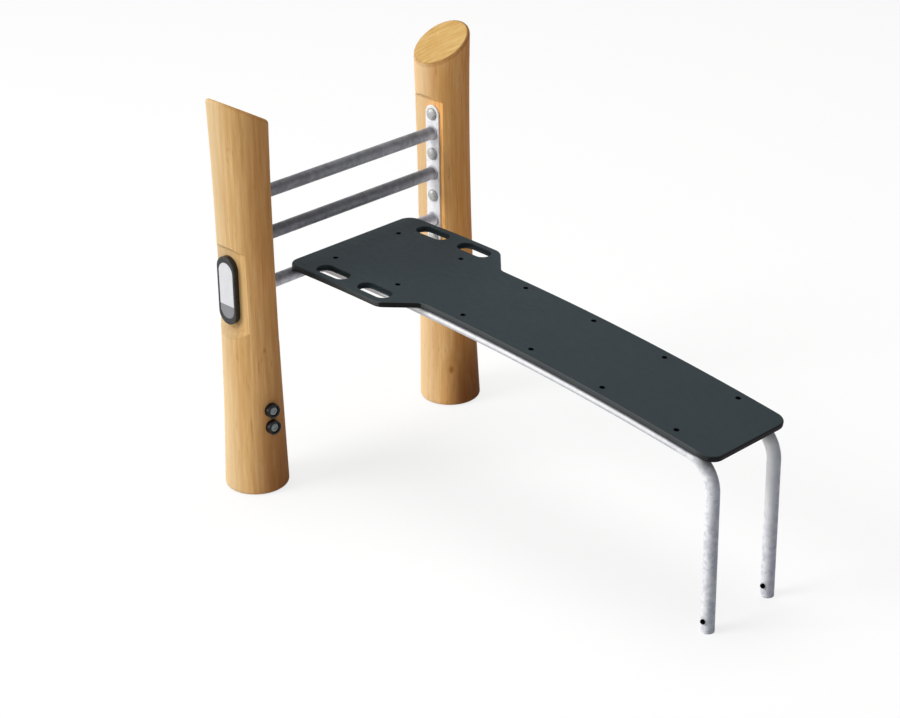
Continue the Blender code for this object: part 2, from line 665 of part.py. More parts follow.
def build_board_fixings(parent, black_steel, bright_steel):
    """Sunk socket bolts in the panel and the threaded bushes in the rails below."""
    top = BOLT_HEAD_HEIGHT
    bolt = bmesh.new()
    turn_profile(bolt, [
        (0, -BOLT_SHANK_LENGTH),
        (BOLT_SHANK_RADIUS, -BOLT_SHANK_LENGTH),
        (BOLT_SHANK_RADIUS, 0),
        (BOLT_HEAD_RADIUS, 0),
        (BOLT_HEAD_RADIUS, top - BOLT_SOCKET_DEPTH / 2),
        (BOLT_HEAD_RADIUS - BOLT_SOCKET_DEPTH / 2, top),
        (BOLT_SOCKET_RADIUS, top),
        (BOLT_SOCKET_RADIUS, top - BOLT_SOCKET_DEPTH),
        (0, top - BOLT_SOCKET_DEPTH),
    ], BOLT_SIDES)
    bolt_mesh = mesh_from(bolt, "board_bolt")
    bush = bmesh.new()
    inner = BOLT_SHANK_RADIUS + CLEARANCE
    turn_profile(bush, [(BUSH_RADIUS, -BUSH_LENGTH), (BUSH_RADIUS, 0), (inner, 0), (inner, -BUSH_LENGTH)],
                 BOLT_SIDES, closed=True)
    bush_mesh = mesh_from(bush, "board_bush")
    for side, name in SIDE_NAMES.items():
        for i, place_along in enumerate(BOLT_PLACES, start=1):
            frame = arch_frame(place_along, side * RAIL_Y)
            head = frame @ Matrix.Translation((0, 0, -BOLT_HEAD_SINK - BOLT_HEAD_HEIGHT))
            seat = frame @ Matrix.Translation((0, 0, -BOARD_THICKNESS - CLEARANCE))
            add_piece(f"{name}_board_bolt_{i}", bolt_mesh, black_steel, parent, head)
            add_piece(f"{name}_board_bush_{i}", bush_mesh, bright_steel, parent, seat)


def build_plate_bolts(parent, zinc):
    """Domed lag screws through the plates into the posts."""
    bm = bmesh.new()
    turn_profile(bm, screw_profile(LAG_SHANK_RADIUS, LAG_SHANK_LENGTH, LAG_TIP_LENGTH, LAG_HEAD_RADIUS,
                                   LAG_HEAD_HEIGHT, LAG_HEAD_RIM), FASTENER_SIDES)
    mesh = mesh_from(bm, "plate_bolt")
    for side, name in SIDE_NAMES.items():
        for i, height in enumerate(PLATE_BOLT_HEIGHTS, start=1):
            add_piece(f"{name}_plate_bolt_{i}", mesh, zinc, parent, lag_frame(side, height))


def build_feet(parent, bright_steel, black_steel):
    """Spigots in the legs' feet, each held by a cross bolt from the near side."""
    radius = TUBE_RADIUS - TUBE_WALL - CLEARANCE
    screw = bmesh.new()
    turn_profile(screw, screw_profile(LEG_BOLT_SHANK_RADIUS, LEG_BOLT_SHANK_LENGTH, LEG_BOLT_SHANK_RADIUS,
                                      LEG_BOLT_HEAD_RADIUS, LEG_BOLT_HEAD_HEIGHT, LEG_BOLT_HEAD_RIM),
                 FASTENER_SIDES)
    screw_mesh = mesh_from(screw, "leg_bolt")
    for side, name in SIDE_NAMES.items():
        across = side * RAIL_Y
        bm = bmesh.new()
        turn_profile(bm, [(0, 0), (radius, 0), (radius, SPIGOT_LENGTH - SPIGOT_CHAMFER),
                          (radius - SPIGOT_CHAMFER, SPIGOT_LENGTH), (0, SPIGOT_LENGTH)], TUBE_SIDES,
                     place=Matrix.Translation((LEG_REACH, across, 0)))
        hole = bmesh.new()
        turn_profile(hole, bore_profile(LEG_BOLT_SHANK_RADIUS, LEG_BOLT_SHANK_LENGTH, LEG_BOLT_SHANK_RADIUS),
                     FASTENER_SIDES, place=leg_bolt_frame(across))
        mesh = subtract(mesh_from(bm, name + "_foot_spigot"), mesh_from(hole, "spigot_hole"))
        add_piece(name + "_foot_spigot", mesh, bright_steel, parent)
        add_piece(name + "_leg_bolt", screw_mesh, black_steel, parent, leg_bolt_frame(across))


def build_sign(parent, black_plastic, white_panel, bright_steel):
    """A round-ended holder on the outer flat, with a bare inset panel that hides two screws."""
    rim = SIGN_EDGE_ROUNDING
    floor = SIGN_THICKNESS - SIGN_PANEL_SINK - SIGN_PANEL_THICKNESS - CLEARANCE
    recess_length = SIGN_PANEL_LENGTH + 2 * CLEARANCE
    recess_width = SIGN_PANEL_WIDTH + 2 * CLEARANCE
    bm = bmesh.new()
    stack_outlines(bm, [
        stadium(SIGN_LENGTH, SIGN_WIDTH, 0),
        stadium(SIGN_LENGTH, SIGN_WIDTH, SIGN_THICKNESS - rim),
        stadium(SIGN_LENGTH - 2 * rim, SIGN_WIDTH - 2 * rim, SIGN_THICKNESS),
        stadium(recess_length, recess_width, SIGN_THICKNESS),
        stadium(recess_length, recess_width, floor),
    ], place=sign_frame())
    holes = bmesh.new()
    head = SIGN_SCREW_HEAD_RADIUS + CLEARANCE
    shank = SIGN_SCREW_SHANK_RADIUS + CLEARANCE
    seat = sign_screw_seat() - CLEARANCE
    for offset in (-SIGN_SCREW_SPACING / 2, SIGN_SCREW_SPACING / 2):
        turn_profile(holes, [(0, -OVERRUN), (shank, -OVERRUN), (shank, seat), (head, seat),
                             (head, SIGN_THICKNESS), (0, SIGN_THICKNESS)], FASTENER_SIDES,
                     place=sign_frame(offset))
    holder = subtract(mesh_from(bm, "sign_holder"), mesh_from(holes, "sign_holes"))
    add_piece("sign_holder", holder, black_plastic, parent)
    panel = bmesh.new()
    low = floor + CLEARANCE
    stack_outlines(panel, [
        stadium(SIGN_PANEL_LENGTH, SIGN_PANEL_WIDTH, low),
        stadium(SIGN_PANEL_LENGTH, SIGN_PANEL_WIDTH, low + SIGN_PANEL_THICKNESS),
    ], place=sign_frame())
    add_piece("sign_panel", mesh_from(panel, "sign_panel"), white_panel, parent)
    screw = bmesh.new()
    turn_profile(screw, [
        (0, -SIGN_SCREW_SHANK_LENGTH),
        (SIGN_SCREW_SHANK_RADIUS, SIGN_SCREW_TIP_LENGTH - SIGN_SCREW_SHANK_LENGTH),
        (SIGN_SCREW_SHANK_RADIUS, 0),
        (SIGN_SCREW_HEAD_RADIUS, 0),
        (SIGN_SCREW_HEAD_RADIUS, SIGN_SCREW_HEAD_HEIGHT),
        (0, SIGN_SCREW_HEAD_HEIGHT),
    ], FASTENER_SIDES)
    screw_mesh = mesh_from(screw, "sign_screw")
    lift = Matrix.Translation((0, 0, sign_screw_seat()))
    for name, offset in (("lower", -SIGN_SCREW_SPACING / 2), ("upper", SIGN_SCREW_SPACING / 2)):
        add_piece(name + "_sign_screw", screw_mesh, bright_steel, parent, sign_frame(offset) @ lift)


def build_cups(parent, black_plastic, zinc):
    """Two deep round cups on the near post, each round the head of a bolt."""
    for name, height in zip(("lower", "upper"), CUP_HEIGHTS):
        top = cup_height_of(height)
        shank = CUP_BOLT_SHANK_RADIUS + CLEARANCE
        lip = CUP_RADIUS - CUP_RIM_RADIUS
        bm = bmesh.new()
        turn_profile(bm, [
            (shank, CLEARANCE),
            (CUP_RADIUS, CLEARANCE),
            (CUP_RADIUS, top - 2 * lip),
            (CUP_RIM_RADIUS, top),
            (CUP_BORE_RADIUS + lip / 2, top),
            (CUP_BORE_RADIUS, top - lip / 2),
            (CUP_BORE_RADIUS, CUP_FLOOR),
            (shank, CUP_FLOOR),
        ], CUP_SIDES, closed=True, place=cup_frame(height))
        add_piece(name + "_post_cup", mesh_from(bm, name + "_post_cup"), black_plastic, parent)
    screw = bmesh.new()
    turn_profile(screw, screw_profile(CUP_BOLT_SHANK_RADIUS, CUP_BOLT_SHANK_LENGTH, CUP_BOLT_TIP_LENGTH,
                                      CUP_BOLT_HEAD_RADIUS, CUP_BOLT_HEAD_HEIGHT, CUP_BOLT_HEAD_RIM),
                 FASTENER_SIDES)
    screw_mesh = mesh_from(screw, "cup_bolt")
    lift = Matrix.Translation((0, 0, CUP_FLOOR + CLEARANCE))
    for name, height in zip(("lower", "upper"), CUP_HEIGHTS):
        add_piece(name + "_cup_bolt", screw_mesh, zinc, parent, cup_frame(height) @ lift)


def build_bench():
    """Model the whole bench and centre it over the origin."""
    clear_scene()
    timber = make_material("timber", (0.55, 0.33, 0.15), 0.65, 0)
    galvanised = make_material("galvanised_tube", (0.60, 0.62, 0.65), 0.45, 0.7)
    zinc = make_material("zinc_fastener", (0.42, 0.43, 0.43), 0.45, 0.8)
    bright_steel = make_material("bright_steel", (0.55, 0.56, 0.57), 0.35, 0.9)
    black_steel = make_material("black_fastener", (0.012, 0.012, 0.014), 0.5, 0.3)
    panel = make_material("slate_panel", (0.045, 0.058, 0.065), 0.55, 0)
    black_plastic = make_material("black_plastic", (0.02, 0.021, 0.023), 0.5, 0)
    white_panel = make_material("white_sign_panel", (0.80, 0.81, 0.82), 0.4, 0)

    front = (ARCH_CENTRE.x + (BOARD_ARCH_RADIUS - BOARD_EDGE_ROUNDING)
             * math.sin((BOARD_LENGTH - BOARD_TAIL) / BOARD_ARCH_RADIUS))
    rear = min(post_rear(NEAR), post_rear(FAR))
    origin = bpy.data.objects.new("bench_origin", None)
    bpy.context.collection.objects.link(origin)
    origin.location.x = -(front + rear) / 2

    build_posts(origin, timber)
    build_plates(origin, galvanised)
    build_rungs(origin, galvanised)
    build_rails(origin, galvanised)
    build_board(origin, panel)
    build_board_fixings(origin, black_steel, bright_steel)
    build_plate_bolts(origin, zinc)
    build_feet(origin, bright_steel, black_steel)
    build_sign(origin, black_plastic, white_panel, bright_steel)
    build_cups(origin, black_plastic, zinc)


build_bench()
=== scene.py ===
"""Looks of an outdoor sit-up bench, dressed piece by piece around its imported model."""
import logging
import math
from dataclasses import dataclass
from enum import Enum
from typing import Optional, Sequence, Union

import bmesh
import bpy
from mathutils import Matrix, Vector, noise


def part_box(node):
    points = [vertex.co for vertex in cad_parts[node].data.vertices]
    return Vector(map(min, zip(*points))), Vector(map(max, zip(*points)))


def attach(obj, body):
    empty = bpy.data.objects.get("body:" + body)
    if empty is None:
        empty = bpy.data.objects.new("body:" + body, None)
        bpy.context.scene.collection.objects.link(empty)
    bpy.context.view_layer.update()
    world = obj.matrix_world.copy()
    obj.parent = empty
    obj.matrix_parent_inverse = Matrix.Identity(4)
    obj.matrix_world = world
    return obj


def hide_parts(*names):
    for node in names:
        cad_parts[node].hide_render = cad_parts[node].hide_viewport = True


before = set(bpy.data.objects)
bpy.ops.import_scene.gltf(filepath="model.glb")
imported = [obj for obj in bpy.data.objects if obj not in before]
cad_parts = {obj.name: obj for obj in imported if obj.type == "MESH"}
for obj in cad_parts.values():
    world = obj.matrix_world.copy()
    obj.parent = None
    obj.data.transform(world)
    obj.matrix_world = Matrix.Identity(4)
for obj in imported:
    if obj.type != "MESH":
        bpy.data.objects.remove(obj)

LOG = logging.getLogger("bench")
BODY = "root"
CLEARANCE = 0.0003
OVERRUN = 0.012
MERGE_DISTANCE = 0.000002
QUARTER = math.radians(90)

# Sizes that several pieces share, in metres
POST_REACH = 0.3974
POST_HEIGHT = 1.1478
TOP_SLOPE = math.radians(30)
RUNG_HEIGHTS = {"top_rung": 0.8833, "middle_rung": 0.7568, "bottom_rung": 0.6073}
RAIL_SPACING = 0.250
PANEL_THICKNESS = 0.018
TUBE_RADIUS = 0.019

# The plane of the posts in the model's frame and the way towards the light
RUNG_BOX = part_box("top_rung")
POST_PLANE = (RUNG_BOX[0].x + RUNG_BOX[1].x) / 2
LIT_BEARING = math.radians(-136)
LIT_WAY = (math.cos(LIT_BEARING), math.sin(LIT_BEARING), 0)

Mesh = bpy.types.Mesh
BMesh = bmesh.types.BMesh
Material = bpy.types.Material
Point = tuple[float, float, float]
Colour = tuple[float, float, float]
Profile = Sequence[tuple[float, float]]
Number = Union["Field", float]

# Two places of a smooth fade and its values there, and a noise's scale, detail, roughness and distortion
Fade = tuple[float, float, float, float]
Grain = tuple[float, ...]


class Side(Enum):
    """The two sides of the bench, valued by the sign of their Y."""
    NEAR = -1
    FAR = 1

    @property
    def label(self) -> str:
        """The word that starts the names of this side's pieces."""
        return self.name.lower()


# Mesh helpers


def link(name: str, data: bpy.types.ID) -> bpy.types.Object:
    """Put a new object with this data into the scene.

    Args:
        name: the object's name.
        data: its mesh, light or camera.

    Returns:
        The object.
    """
    item = bpy.data.objects.new(name, data)
    bpy.context.scene.collection.objects.link(item)
    return item


def to_mesh(bm: BMesh, name: str) -> Mesh:
    """Merge doubles, face everything outwards and turn a bmesh into a mesh.

    Args:
        bm: the bmesh, which is freed.
        name: the mesh's name.

    Returns:
        The new mesh.
    """
    bmesh.ops.remove_doubles(bm, verts=bm.verts, dist=MERGE_DISTANCE)
    bmesh.ops.recalc_face_normals(bm, faces=bm.faces)
    mesh = bpy.data.meshes.new(name)
    bm.to_mesh(mesh)
    bm.free()
    return mesh


def cut(body: Mesh, cutter: Mesh) -> Mesh:
    """Cut one closed mesh out of another.

    Args:
        body: the mesh that is cut, removed afterwards.
        cutter: the mesh that is taken out, removed afterwards.

    Returns:
        The mesh that is left.
    """
    target, tool = link("cut_target", body), link("cut_tool", cutter)
    modifier = target.modifiers.new("cut", 'BOOLEAN')
    modifier.operation = 'DIFFERENCE'
    modifier.solver = 'EXACT'
    modifier.object = tool
    evaluated = target.evaluated_get(bpy.context.evaluated_depsgraph_get())
    result = bpy.data.meshes.new_from_object(evaluated)
    for item in (target, tool):
        bpy.data.objects.remove(item, do_unlink=True)
    for used in (body, cutter):
        bpy.data.meshes.remove(used)
    return result


def aim(direction: Point, at: Point) -> Matrix:
    """A placing matrix whose own +Z points along a direction."""
    return Matrix.Translation(at) @ Vector(direction).to_track_quat('Z', 'Y').to_matrix().to_4x4()


def everything(bm: BMesh) -> list:
    """All vertices, edges and faces of a bmesh."""
    return bm.verts[:] + bm.edges[:] + bm.faces[:]


def push(bm: BMesh, geometry: list, travel: Point) -> None:
    """Extrude faces straight along a vector.

    Args:
        bm: the bmesh that they are in.
        geometry: the faces, with or without their edges and vertices.
        travel: how far and which way they go.
    """
    grown = bmesh.ops.extrude_face_region(bm, geom=geometry)["geom"]
    moved = [item for item in grown if isinstance(item, bmesh.types.BMVert)]
    bmesh.ops.translate(bm, vec=travel, verts=moved)


def round_off(bm: BMesh, geometry: list, offset: float, steps: int, measure: str = 'OFFSET',
              affect: str = 'EDGES') -> None:
    """Round edges or corners off.

    Args:
        bm: the bmesh that they are in.
        geometry: the edges, or the vertices of flat corners.
        offset: the rounding's size.
        steps: segments of the rounding.
        measure: the bevel operator's way to measure the offset.
        affect: EDGES or VERTICES.
    """
    bmesh.ops.bevel(bm, geom=geometry, offset=offset, offset_type=measure, segments=steps, profile=0.5,
                    affect=affect, material=-1)


def lathe(bm: BMesh, profile: Profile, steps: int, place: Optional[Matrix] = None,
          closed: bool = False) -> list:
    """Spin a profile about +Z.

    Args:
        bm: the bmesh that takes the shape.
        profile: (radius, height) points from the bottom up.
        steps: how many facets go round.
        place: where the shape goes, if not at the origin.
        closed: whether the profile closes on itself, as a ring's does.

    Returns:
        The new vertices.
    """
    before = set(bm.verts)
    turned = Matrix.Rotation(math.pi / steps, 4, 'Z')
    made = [bm.verts.new(turned @ Vector((radius, 0, height))) for radius, height in profile]
    edges = [bm.edges.new(pair) for pair in zip(made, made[1:])]
    if closed:
        edges.append(bm.edges.new((made[-1], made[0])))
    bmesh.ops.spin(bm, geom=made + edges, cent=(0, 0, 0), axis=(0, 0, 1), angle=math.tau, steps=steps,
                   use_merge=True)
    new = [vert for vert in bm.verts if vert not in before]
    if place is not None:
        bmesh.ops.transform(bm, matrix=place, verts=new)
    return new


def spun(name: str, profile: Profile, steps: int, place: Optional[Matrix] = None,
         closed: bool = False) -> Mesh:
    """A mesh of one turned shape.

    Args:
        name: the mesh's name.
        profile: (radius, height) points from the bottom up.
        steps: how many facets go round.
        place: where the shape goes, if not at the origin.
        closed: whether the profile closes on itself.

    Returns:
        The mesh.
    """
    bm = bmesh.new()
    lathe(bm, profile, steps, place, closed)
    return to_mesh(bm, name)


def round_ended(bm: BMesh, profile: Profile, steps: int, length: float, width: float, place: Matrix) -> None:
    """A turned shape whose two halves are pulled apart along X, which makes it round-ended.

    Args:
        bm: the bmesh that takes the shape.
        profile: (radius, height) points of the round ends.
        steps: facets of both ends together.
        length: over the round ends.
        width: across, twice the ends' radius.
        place: where the shape goes.
    """
    new = lathe(bm, profile, steps)
    shift = (length - width) / 2
    for end in (1, -1):
        half = [vert for vert in new if vert.co.x * end > MERGE_DISTANCE]
        bmesh.ops.translate(bm, vec=(end * shift, 0, 0), verts=half)
    bmesh.ops.transform(bm, matrix=place, verts=new)


def quarter_round(radius: float, centre: tuple[float, float], steps: int, start: float) -> list:
    """Points of a quarter circle, anticlockwise from a start angle.

    Args:
        radius: of the arc.
        centre: (radius, height) of the arc's centre in a profile.
        steps: segments of the arc.
        start: angle of its first point.

    Returns:
        The (radius, height) points.
    """
    angles = [start + QUARTER * k / steps for k in range(steps + 1)]
    return [(centre[0] + radius * math.cos(a), centre[1] + radius * math.sin(a)) for a in angles]


def plug(low: float, high: float, radius: float) -> Profile:
    """The profile of a plain cylinder between two heights."""
    return [(0, low), (radius, low), (radius, high), (0, high)]


def present(mesh: Mesh, name: str, finish: Material, node: Optional[str] = None,
            sharp: float = 35, even: bool = False) -> bpy.types.Object:
    """Put a finished mesh into the scene as a piece that rides on the bench.

    Args:
        mesh: drawn from the plane of the posts, and moved here into the model's frame.
        name: the piece's name.
        finish: its material.
        node: the CAD node that it stands for, if any.
        sharp: edges over this many degrees stay sharp.
        even: whether broad faces keep their own normals beside narrow ones.

    Returns:
        The piece.
    """
    mesh.transform(Matrix.Translation((POST_PLANE, 0, 0)))
    mesh.materials.clear()
    mesh.materials.append(finish)
    mesh.shade_smooth()
    mesh.set_sharp_from_angle(angle=math.radians(sharp))
    piece = link(name, mesh)
    if even:
        weighted = piece.modifiers.new("even_faces", 'WEIGHTED_NORMAL')
        weighted.keep_sharp = True
    if node is not None:
        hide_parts(node)
    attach(piece, BODY)
    LOG.info("%s: %d faces", name, len(mesh.polygons))
    return piece


# Finishes


class Field:
    """A number, vector or colour that varies over a surface: a node's output, reckoned with like a number."""

    def __init__(self, sheet: "NodeSheet", socket: bpy.types.NodeSocket) -> None:
        """Hold a node's output."""
        self.sheet = sheet
        self.socket = socket

    def __add__(self, other: Number) -> "Field":
        """The sum with another field or a number."""
        return self.sheet.maths('ADD', self, other)

    def __sub__(self, other: Number) -> "Field":
        """This less another field or a number."""
        return self.sheet.maths('SUBTRACT', self, other)

    def __rsub__(self, other: float) -> "Field":
        """A number less this."""
        return self.sheet.maths('SUBTRACT', other, self)

    def __mul__(self, other: Number) -> "Field":
        """The product with another field or a number."""
        return self.sheet.maths('MULTIPLY', self, other)

    def __truediv__(self, other: Number) -> "Field":
        """This divided by another field or a number."""
        return self.sheet.maths('DIVIDE', self, other)

    def __abs__(self) -> "Field":
        """This without its sign."""
        return self.sheet.maths('ABSOLUTE', self)

    def at_least(self, other: Number) -> "Field":
        """The greater of this and another field or a number."""
        return self.sheet.maths('MAXIMUM', self, other)

    def moved(self, *steps: float) -> "Field":
        """A vector with its three parts added to."""
        return self.sheet.take("VectorMath", {0: self, 1: steps}, operation='ADD')

    def stretched(self, *factors: float) -> "Field":
        """A vector with its three parts multiplied."""
        return self.sheet.take("VectorMath", {0: self, 1: factors}, operation='MULTIPLY')

    def scaled(self, factor: Number) -> "Field":
        """A vector or colour multiplied as a whole."""
        return self.sheet.take("VectorMath", {0: self, "Scale": factor}, operation='SCALE')

    def length(self) -> "Field":
        """A vector's length."""
        return self.sheet.take("VectorMath", {0: self}, "Value", operation='LENGTH')

    def along(self, way: Point, radius: float) -> "Field":
        """How far a vector reaches in a direction, counted in radii."""
        return self.sheet.take("VectorMath", {0: self, 1: way}, "Value", operation='DOT_PRODUCT') / radius

    def axis(self, index: int) -> "Field":
        """One part of a vector."""
        return self.sheet.take("SeparateXYZ", {0: self}, index)

    def spread(self, low: float, high: float, to_low: float, to_high: float) -> "Field":
        """A number mapped smoothly from one range to another, and kept inside it."""
        ranges = {"Value": self, "From Min": low, "From Max": high, "To Min": to_low, "To Max": to_high}
        return self.sheet.take("MapRange", ranges, interpolation_type='SMOOTHSTEP')

    def noise(self, scale: float, detail: float, roughness: float, distortion: float = 0) -> "Field":
        """A noise pattern that these coordinates place."""
        return self.sheet.take("TexNoise", {"Vector": self, "Scale": scale, "Detail": detail,
                                            "Roughness": roughness, "Distortion": distortion})

    def ramp(self, *stops: tuple[float, Colour]) -> "Field":
        """The colours that a number picks.

        Args:
            stops: (number, colour) pairs in rising order.

        Returns:
            The colour.
        """
        node = self.sheet.add("ValToRGB", {0: self})
        elements = node.color_ramp.elements
        while len(elements) < len(stops):
            elements.new(0.5)
        for element, (place, colour) in zip(elements, stops):
            element.position = place
            element.color = (*colour, 1)
        return Field(self.sheet, node.outputs[0])

    def mixed(self, share: Number, other: Union["Field", Colour]) -> "Field":
        """This colour mixed with a share of another."""
        return self.sheet.mix(share, self, other)

    def tinted(self, share: Number, tint: Colour) -> "Field":
        """This colour multiplied by a tint, to a share."""
        return self.sheet.mix(share, self, tint, 'MULTIPLY')

    def bump(self, strength: float, distance: float) -> "Field":
        """A normal bumped by this height."""
        return self.sheet.take("Bump", {"Height": self, "Strength": strength, "Distance": distance})


class NodeSheet:
    """The node tree of a material or world, with short ways to add and join nodes."""

    def __init__(self, owner: Union[Material, bpy.types.World]) -> None:
        """Empty the owner's tree.

        Args:
            owner: the material or world.
        """
        owner.use_nodes = True
        self.owner = owner
        self.tree = owner.node_tree
        self.tree.nodes.clear()

    def add(self, kind: str, inputs: Optional[dict] = None, **settings) -> bpy.types.Node:
        """Add a node.

        Args:
            kind: the node's type, without its ShaderNode prefix.
            inputs: values or fields for its inputs, by name or number.
            settings: its own properties.

        Returns:
            The node.
        """
        node = self.tree.nodes.new("ShaderNode" + kind)
        for key, value in settings.items():
            setattr(node, key, value)
        for key, value in (inputs or {}).items():
            if isinstance(value, Field):
                self.tree.links.new(value.socket, node.inputs[key])
            else:
                node.inputs[key].default_value = value
        return node

    def take(self, kind: str, inputs: Optional[dict] = None, output: Union[int, str] = 0,
             **settings) -> Field:
        """One output of a new node."""
        return Field(self, self.add(kind, inputs, **settings).outputs[output])

    def maths(self, operation: str, *values: Number) -> Field:
        """The result of a Math node on numbers or fields."""
        return self.take("Math", dict(enumerate(values)), operation=operation)

    def mix(self, share: Number, first: Union[Field, Colour], second: Union[Field, Colour],
            mode: str = 'MIX') -> Field:
        """Two colours mixed by a share.

        Args:
            share: of the second colour.
            first: the first colour.
            second: the second colour.
            mode: the node's blend type.

        Returns:
            The colour.
        """
        colours = [(*c, 1) if isinstance(c, tuple) else c for c in (first, second)]
        return self.take("Mix", {0: share, 6: colours[0], 7: colours[1]}, 2, data_type='RGBA',
                         blend_type=mode)

    def coordinates(self, centre: Point = (0, 0, 0), turn: float = 0, stretch: Point = (1, 1, 1)) -> Field:
        """Object coordinates from a centre, turned about +Z and stretched."""
        return self.take("Mapping", {"Vector": self.take("TexCoord", output="Object"), "Location": centre,
                                     "Rotation": (0, 0, turn), "Scale": stretch}, vector_type='TEXTURE')

    def seen(self) -> Field:
        """A share that is one for camera, glossy and transmission rays."""
        camera, glossy, passed = (self.take("LightPath", output=f"Is {kind} Ray")
                                  for kind in ("Camera", "Glossy", "Transmission"))
        return camera.at_least(glossy).at_least(passed)

    def finish(self, **inputs) -> Material:
        """Close the tree with a Principled shader.

        Args:
            inputs: its inputs, underscores standing for spaces.

        Returns:
            The finished material.
        """
        shader = self.take("BsdfPrincipled", {key.replace("_", " "): value for key, value in inputs.items()})
        self.add("OutputMaterial", {"Surface": shader})
        return self.owner


def new_sheet(name: str) -> NodeSheet:
    """The empty sheet of a new material."""
    return NodeSheet(bpy.data.materials.new(name))


def toned(colour: Colour, factor: float) -> Colour:
    """A colour made darker or lighter, at most white."""
    return tuple(min(part * factor, 1) for part in colour)


@dataclass(frozen=True)
class Flat:
    """A flat sawn along a post: its distance from the post's middle, its span and its ends' slope."""
    setback: float
    low: float
    high: float
    end_slope: float = math.radians(40)


INNER_FLAT = Flat(0.0559, 0.454, 0.983)
OUTER_FLAT = Flat(0.0516, 0.512, 0.7455)


@dataclass(frozen=True)
class Knot:
    """A small knot in a post: its bearing in degrees, its height, its radius and how dark it is."""
    bearing: float
    height: float
    radius: float
    dark: float = 1


